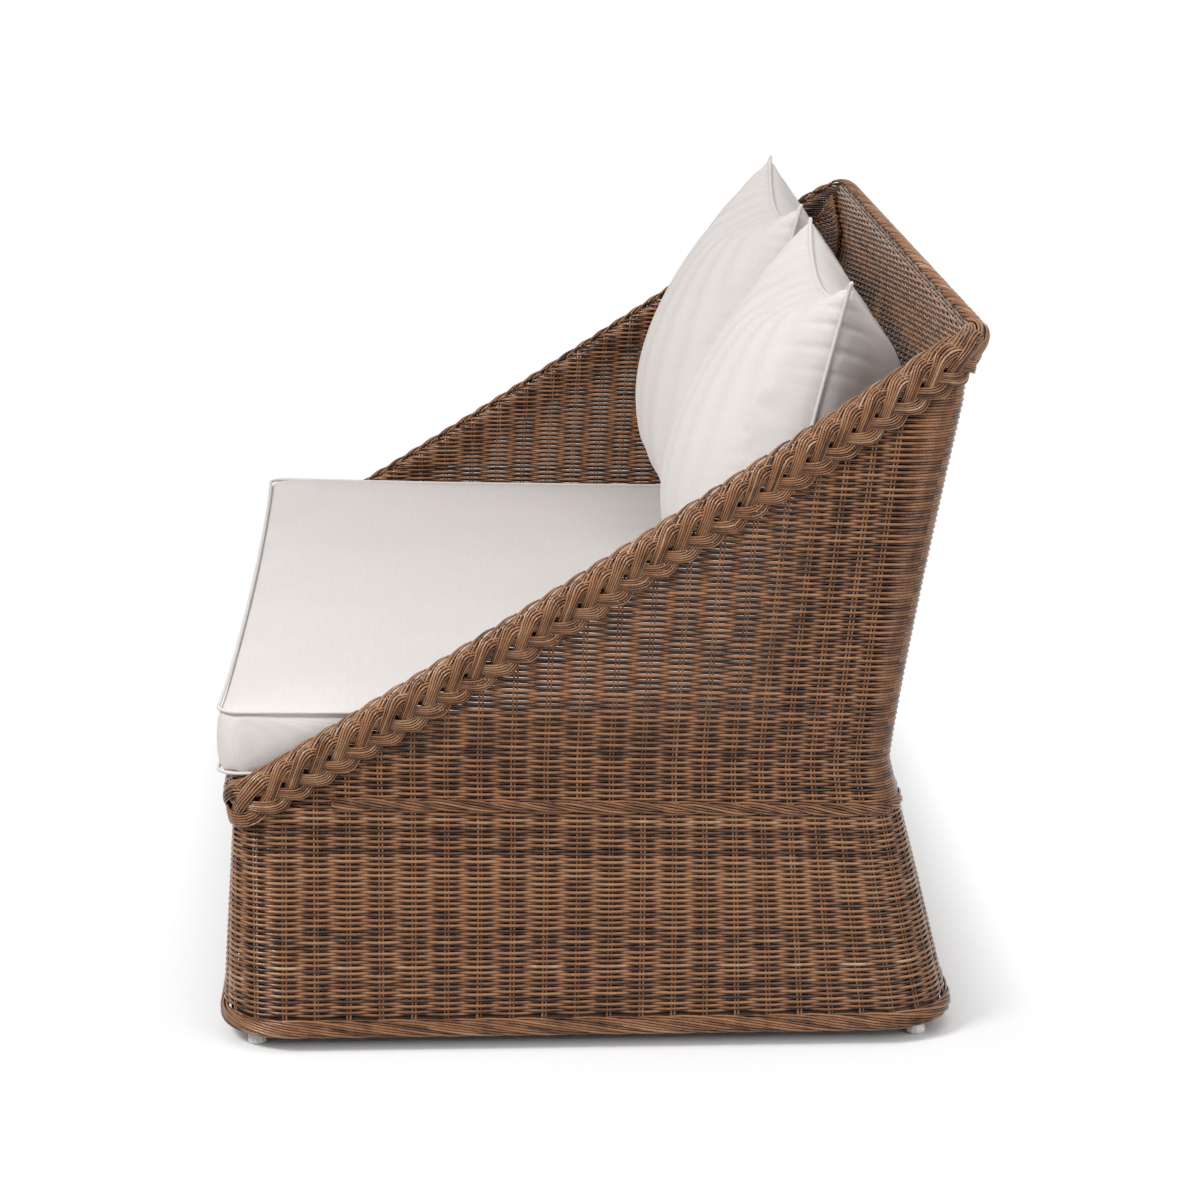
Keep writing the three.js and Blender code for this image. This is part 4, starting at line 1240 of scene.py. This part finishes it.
cushion_canvas = canvas("white_canvas")
welt_outline = cushion_outline(cushion_start_inset - cushion_welt_out, cushion_draw_in)
cushion, cushion_seams = filled(
    rings_mesh("seat_cushion_bag", cushion_rings()),
    [on_seat(welt_outline, up) for up in welt_levels.values()],
    voxel=0.0094, pressure=4, cap=0.0055, finish=cushion_canvas)
hand_over(cushion, "seat_cushion")
for place, seam in zip(welt_levels, cushion_seams):
    welt(f"seat_cushion_welt_{place}", seam, cushion_welt_radius, "seat_cushion", cushion_canvas)


# Back pillows. Two knife-edged pillows in the same canvas, with a piped welt round them, full in the
# middle and pointed at the corners, with small puckers along the welt. They lean on the back.
pillow_height = 0.486
pillow_gap = 0.022
pillow_side_gap = 0.104
pillow_width = waist_half_width - wall_thickness - pillow_side_gap - pillow_gap / 2
pillow_front = 0.116
pillow_back = 0.136
pillow_low_bulge = 0.22
pillow_fullness = 0.56
pillow_top_sag = 0.165
pillow_side_sag = 0.085
pillow_edge = 0.003
pillow_grid = 60
pillow_lean = math.radians(13.4)
pillow_easing = 0.012
pillow_back_set = 0.003
pillow_drops = {"right": 0.005, "left": -0.009}
pillow_rolls = {"right": 0.006, "left": 0}
pillow_yaw = 0.016
pillow_seed = 11
pillow_welt_radius = 0.0024
pucker_depth = 0.0034
pucker_reach = 0.03
pucker_slant = 0.3
pucker_pitch = 0.021
pucker_drift = 1.6
pucker_drift_pitch = 0.11
pucker_group_pitch = 0.17
end_pucker_share = 0.6
fold_depth = 0.0011
fold_slant = 0.25
fold_pitch = 0.062
fold_drift = 1.2
fold_drift_pitch = 0.45
fold_margin = 0.09
full_turn = 2 * math.pi
pillow_canvas = canvas("white_canvas_leaning", pillow_lean)


def pillow_point(across, up, face):
    fullness = ((1 - across ** 2) * (1 - up ** 2)) ** pillow_fullness
    depth = np.where(face < 0, -pillow_front * (1 - pillow_low_bulge * up), pillow_back)
    x = across * pillow_width / 2 * (1 - pillow_side_sag * (1 - up ** 2))
    z = up * pillow_height / 2 * (1 - pillow_top_sag * (1 - across ** 2))
    y = np.abs(face) * (np.sign(face) * pillow_edge + depth * fullness)
    return np.stack([x, y * math.cos(pillow_lean) + z * math.sin(pillow_lean),
                     z * math.cos(pillow_lean) - y * math.sin(pillow_lean)], -1)


def pucker(piece, middle, seed):
    """Presses small creases in along the welt and long soft folds up the front."""
    places = at_vertices(piece.data)
    x, y, z = (places - middle).T
    up = z * math.cos(pillow_lean) + y * math.sin(pillow_lean)
    depth = y * math.cos(pillow_lean) - z * math.sin(pillow_lean)
    to_side = np.maximum(pillow_width / 2 - np.abs(x), 0)
    to_end = np.maximum(pillow_height / 2 - np.abs(up), 0)
    draws = np.random.default_rng(seed).uniform(0, full_turn, 8)

    def wave(along, pitch, draw):
        return np.sin(along * full_turn / pitch + draw)

    def creases(along, away, draws):
        slanted = along + pucker_slant * away
        drift = pucker_drift * wave(slanted, pucker_drift_pitch, draws[1])
        ripple = wave(slanted, pucker_pitch, draws[0] + drift)
        swell = 0.5 + 0.5 * wave(slanted, pucker_group_pitch, draws[2])
        return np.maximum(ripple, 0) ** 2 * swell * np.exp(-away / pucker_reach)

    drop = pucker_depth * (creases(up, to_side, draws) + end_pucker_share * creases(x, to_end, draws[3:]))
    drift = fold_drift * wave(up, fold_drift_pitch, draws[6])
    folds = wave(x + fold_slant * up, fold_pitch, drift + draws[7])
    inner = smooth(to_side / fold_margin) * smooth(to_end / fold_margin)
    drop += np.where(depth < 0, fold_depth, fold_depth / 2) * inner * folds
    reshape(piece, places - at_vertices(piece.data, "normal") * drop[:, None])


def lean_back(piece):
    """Flattens a pillow where it leans on the inside of the back."""
    places = at_vertices(piece.data)
    z = places[:, 2]
    touching = back_face(z) - lining_inset - drawn_in(z - back_rim_height, stake_inset) - pillow_easing
    past = places[:, 1] - touching
    pressed = touching + pillow_easing * np.tanh(past / pillow_easing)
    places[:, 1] = np.where(past > 0, pressed, places[:, 1])
    reshape(piece, places)


def pillow_faces():
    """Faces of a pillow's front and back grids and of its narrow edge, and the front grid's border."""
    count = pillow_grid + 1
    back = count * count
    faces = []
    for row in range(pillow_grid):
        for a in range(row * count, row * count + pillow_grid):
            faces.append((a, a + 1, a + count + 1, a + count))
            faces.append((a + back, a + back + count, a + back + count + 1, a + back + 1))
    grid = np.arange(back).reshape(count, count)
    border = np.concatenate([grid[0, :-1], grid[:-1, -1], grid[-1, :0:-1], grid[:0:-1, 0]])
    for place, following in zip(border.tolist(), np.roll(border, -1).tolist()):
        faces.append((following, place, place + back, following + back))
    return faces, border


for side_name, side in (("right", 1), ("left", -1)):
    body = f"back_pillow_{side_name}"
    low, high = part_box(body)
    steps = np.sin((np.linspace(0, 1, pillow_grid + 1) - 0.5) * math.pi)
    up, across = np.meshgrid(steps, steps, indexing="ij")
    shape = np.concatenate([pillow_point(across, up, face).reshape(-1, 3) for face in (-1, 1)])
    middle = np.array([(low.x + high.x) / 2, high.y - shape[:, 1].max(), high.z - shape[:, 2].max()])
    middle += (0, pillow_back_set, -pillow_drops[side_name])
    places = shape + middle
    places[:, 1] -= pillow_yaw * shape[:, 0]
    places[:, 2] -= pillow_rolls[side_name] * shape[:, 0]
    faces, border = pillow_faces()
    mesh = bpy.data.meshes.new(f"{body}_bag")
    mesh.from_pydata(places.tolist(), [], faces)
    seam = (places[border] + places[border + len(places) // 2]) / 2
    pillow, (seam,) = filled(mesh, [seam], voxel=0.0076, pressure=3.5, cap=0.008, finish=pillow_canvas)
    pucker(pillow, middle, pillow_seed + side)
    lean_back(pillow)
    hand_over(pillow, body)
    welt(f"{body}_welt", seam, pillow_welt_radius, body, pillow_canvas)


# Ground. A plain white sweep under a white studio: white to the camera away from the sofa, and a matt
# floor that takes the sofa's shadow under and round it.
ground_half = 9
ground_white = (0.88, 0.88, 0.88, 1)
ground_bounce = (0.42, 0.41, 0.40, 1)
shadow_start = (0.66, 0.38, 0)
shadow_near = 0.0
shadow_far = 0.13
sky_strength = 0.46


def seen_directly(bench):
    """1 for rays from the camera, from a gloss and through glass."""
    rays = bench.tree.nodes.new("ShaderNodeLightPath").outputs
    seen = rays["Is Camera Ray"]
    for kind in ("Is Glossy Ray", "Is Transmission Ray"):
        seen = bench.maths("ADD", seen, rays[kind], use_clamp=True)
    return seen


def white_ground():
    finish = Finish("white_ground")
    seen = seen_directly(finish)
    finish.feed(finish.shader, {
        "Base Color": finish.mixed(seen, ground_bounce, ground_white), "Roughness": 0.9})
    past = finish.vector_maths("SUBTRACT", finish.vector_maths("ABSOLUTE", finish.place), shadow_start)
    away = finish.vector_maths(
        "LENGTH", finish.vector_maths("MAXIMUM", past, (0, 0, 0)), output="Value")
    fade = finish.between(away, 0, 1, shadow_near, shadow_far)
    both = finish.lay("ShaderNodeMixShader", {
        0: finish.maths("MULTIPLY", fade, seen), 1: finish.shader.outputs[0],
        2: finish.lay("ShaderNodeEmission")})
    finish.feed(finish.tree.nodes["Material Output"], {"Surface": both})
    return finish.material


floor_mesh = bpy.data.meshes.new("ground")
floor_mesh.from_pydata([(-ground_half, -ground_half, 0), (ground_half, -ground_half, 0),
                        (ground_half, ground_half, 0), (-ground_half, ground_half, 0)], [], [(0, 1, 2, 3)])
placed("ground", floor_mesh)
floor_mesh.materials.append(white_ground())

world = bpy.data.worlds.new("studio")
bpy.context.scene.world = world
world.use_nodes = True
studio = NodeBench(world.node_tree)
strength = studio.lay("ShaderNodeMapRange", {
    "Value": seen_directly(studio), "To Min": sky_strength, "To Max": 1}, "Result")
studio.feed(world.node_tree.nodes["Background"], {"Color": (1, 1, 1, 1), "Strength": strength})


# Lamps. A soft key from the front, a weak broad one from above and a weak fill from behind, all aimed
# at the middle of the sofa.
lamp_aim = Vector((0, 0, 0.35))


def lamp(name, place, size, power):
    data = bpy.data.lights.new(name, "AREA")
    data.size = size
    data.energy = power
    light = placed(name, data)
    light.location = place
    light.rotation_euler = looking_along(lamp_aim - Vector(place))


lamp("key_lamp", (2.3, -2.3, 3.1), size=1.0, power=124)
lamp("top_lamp", (1.2, 0.8, 3.6), size=2.2, power=28)
lamp("fill_lamp", (3.4, 2.3, 1.8), size=2.2, power=44)

bpy.context.scene.view_settings.view_transform = "Standard"
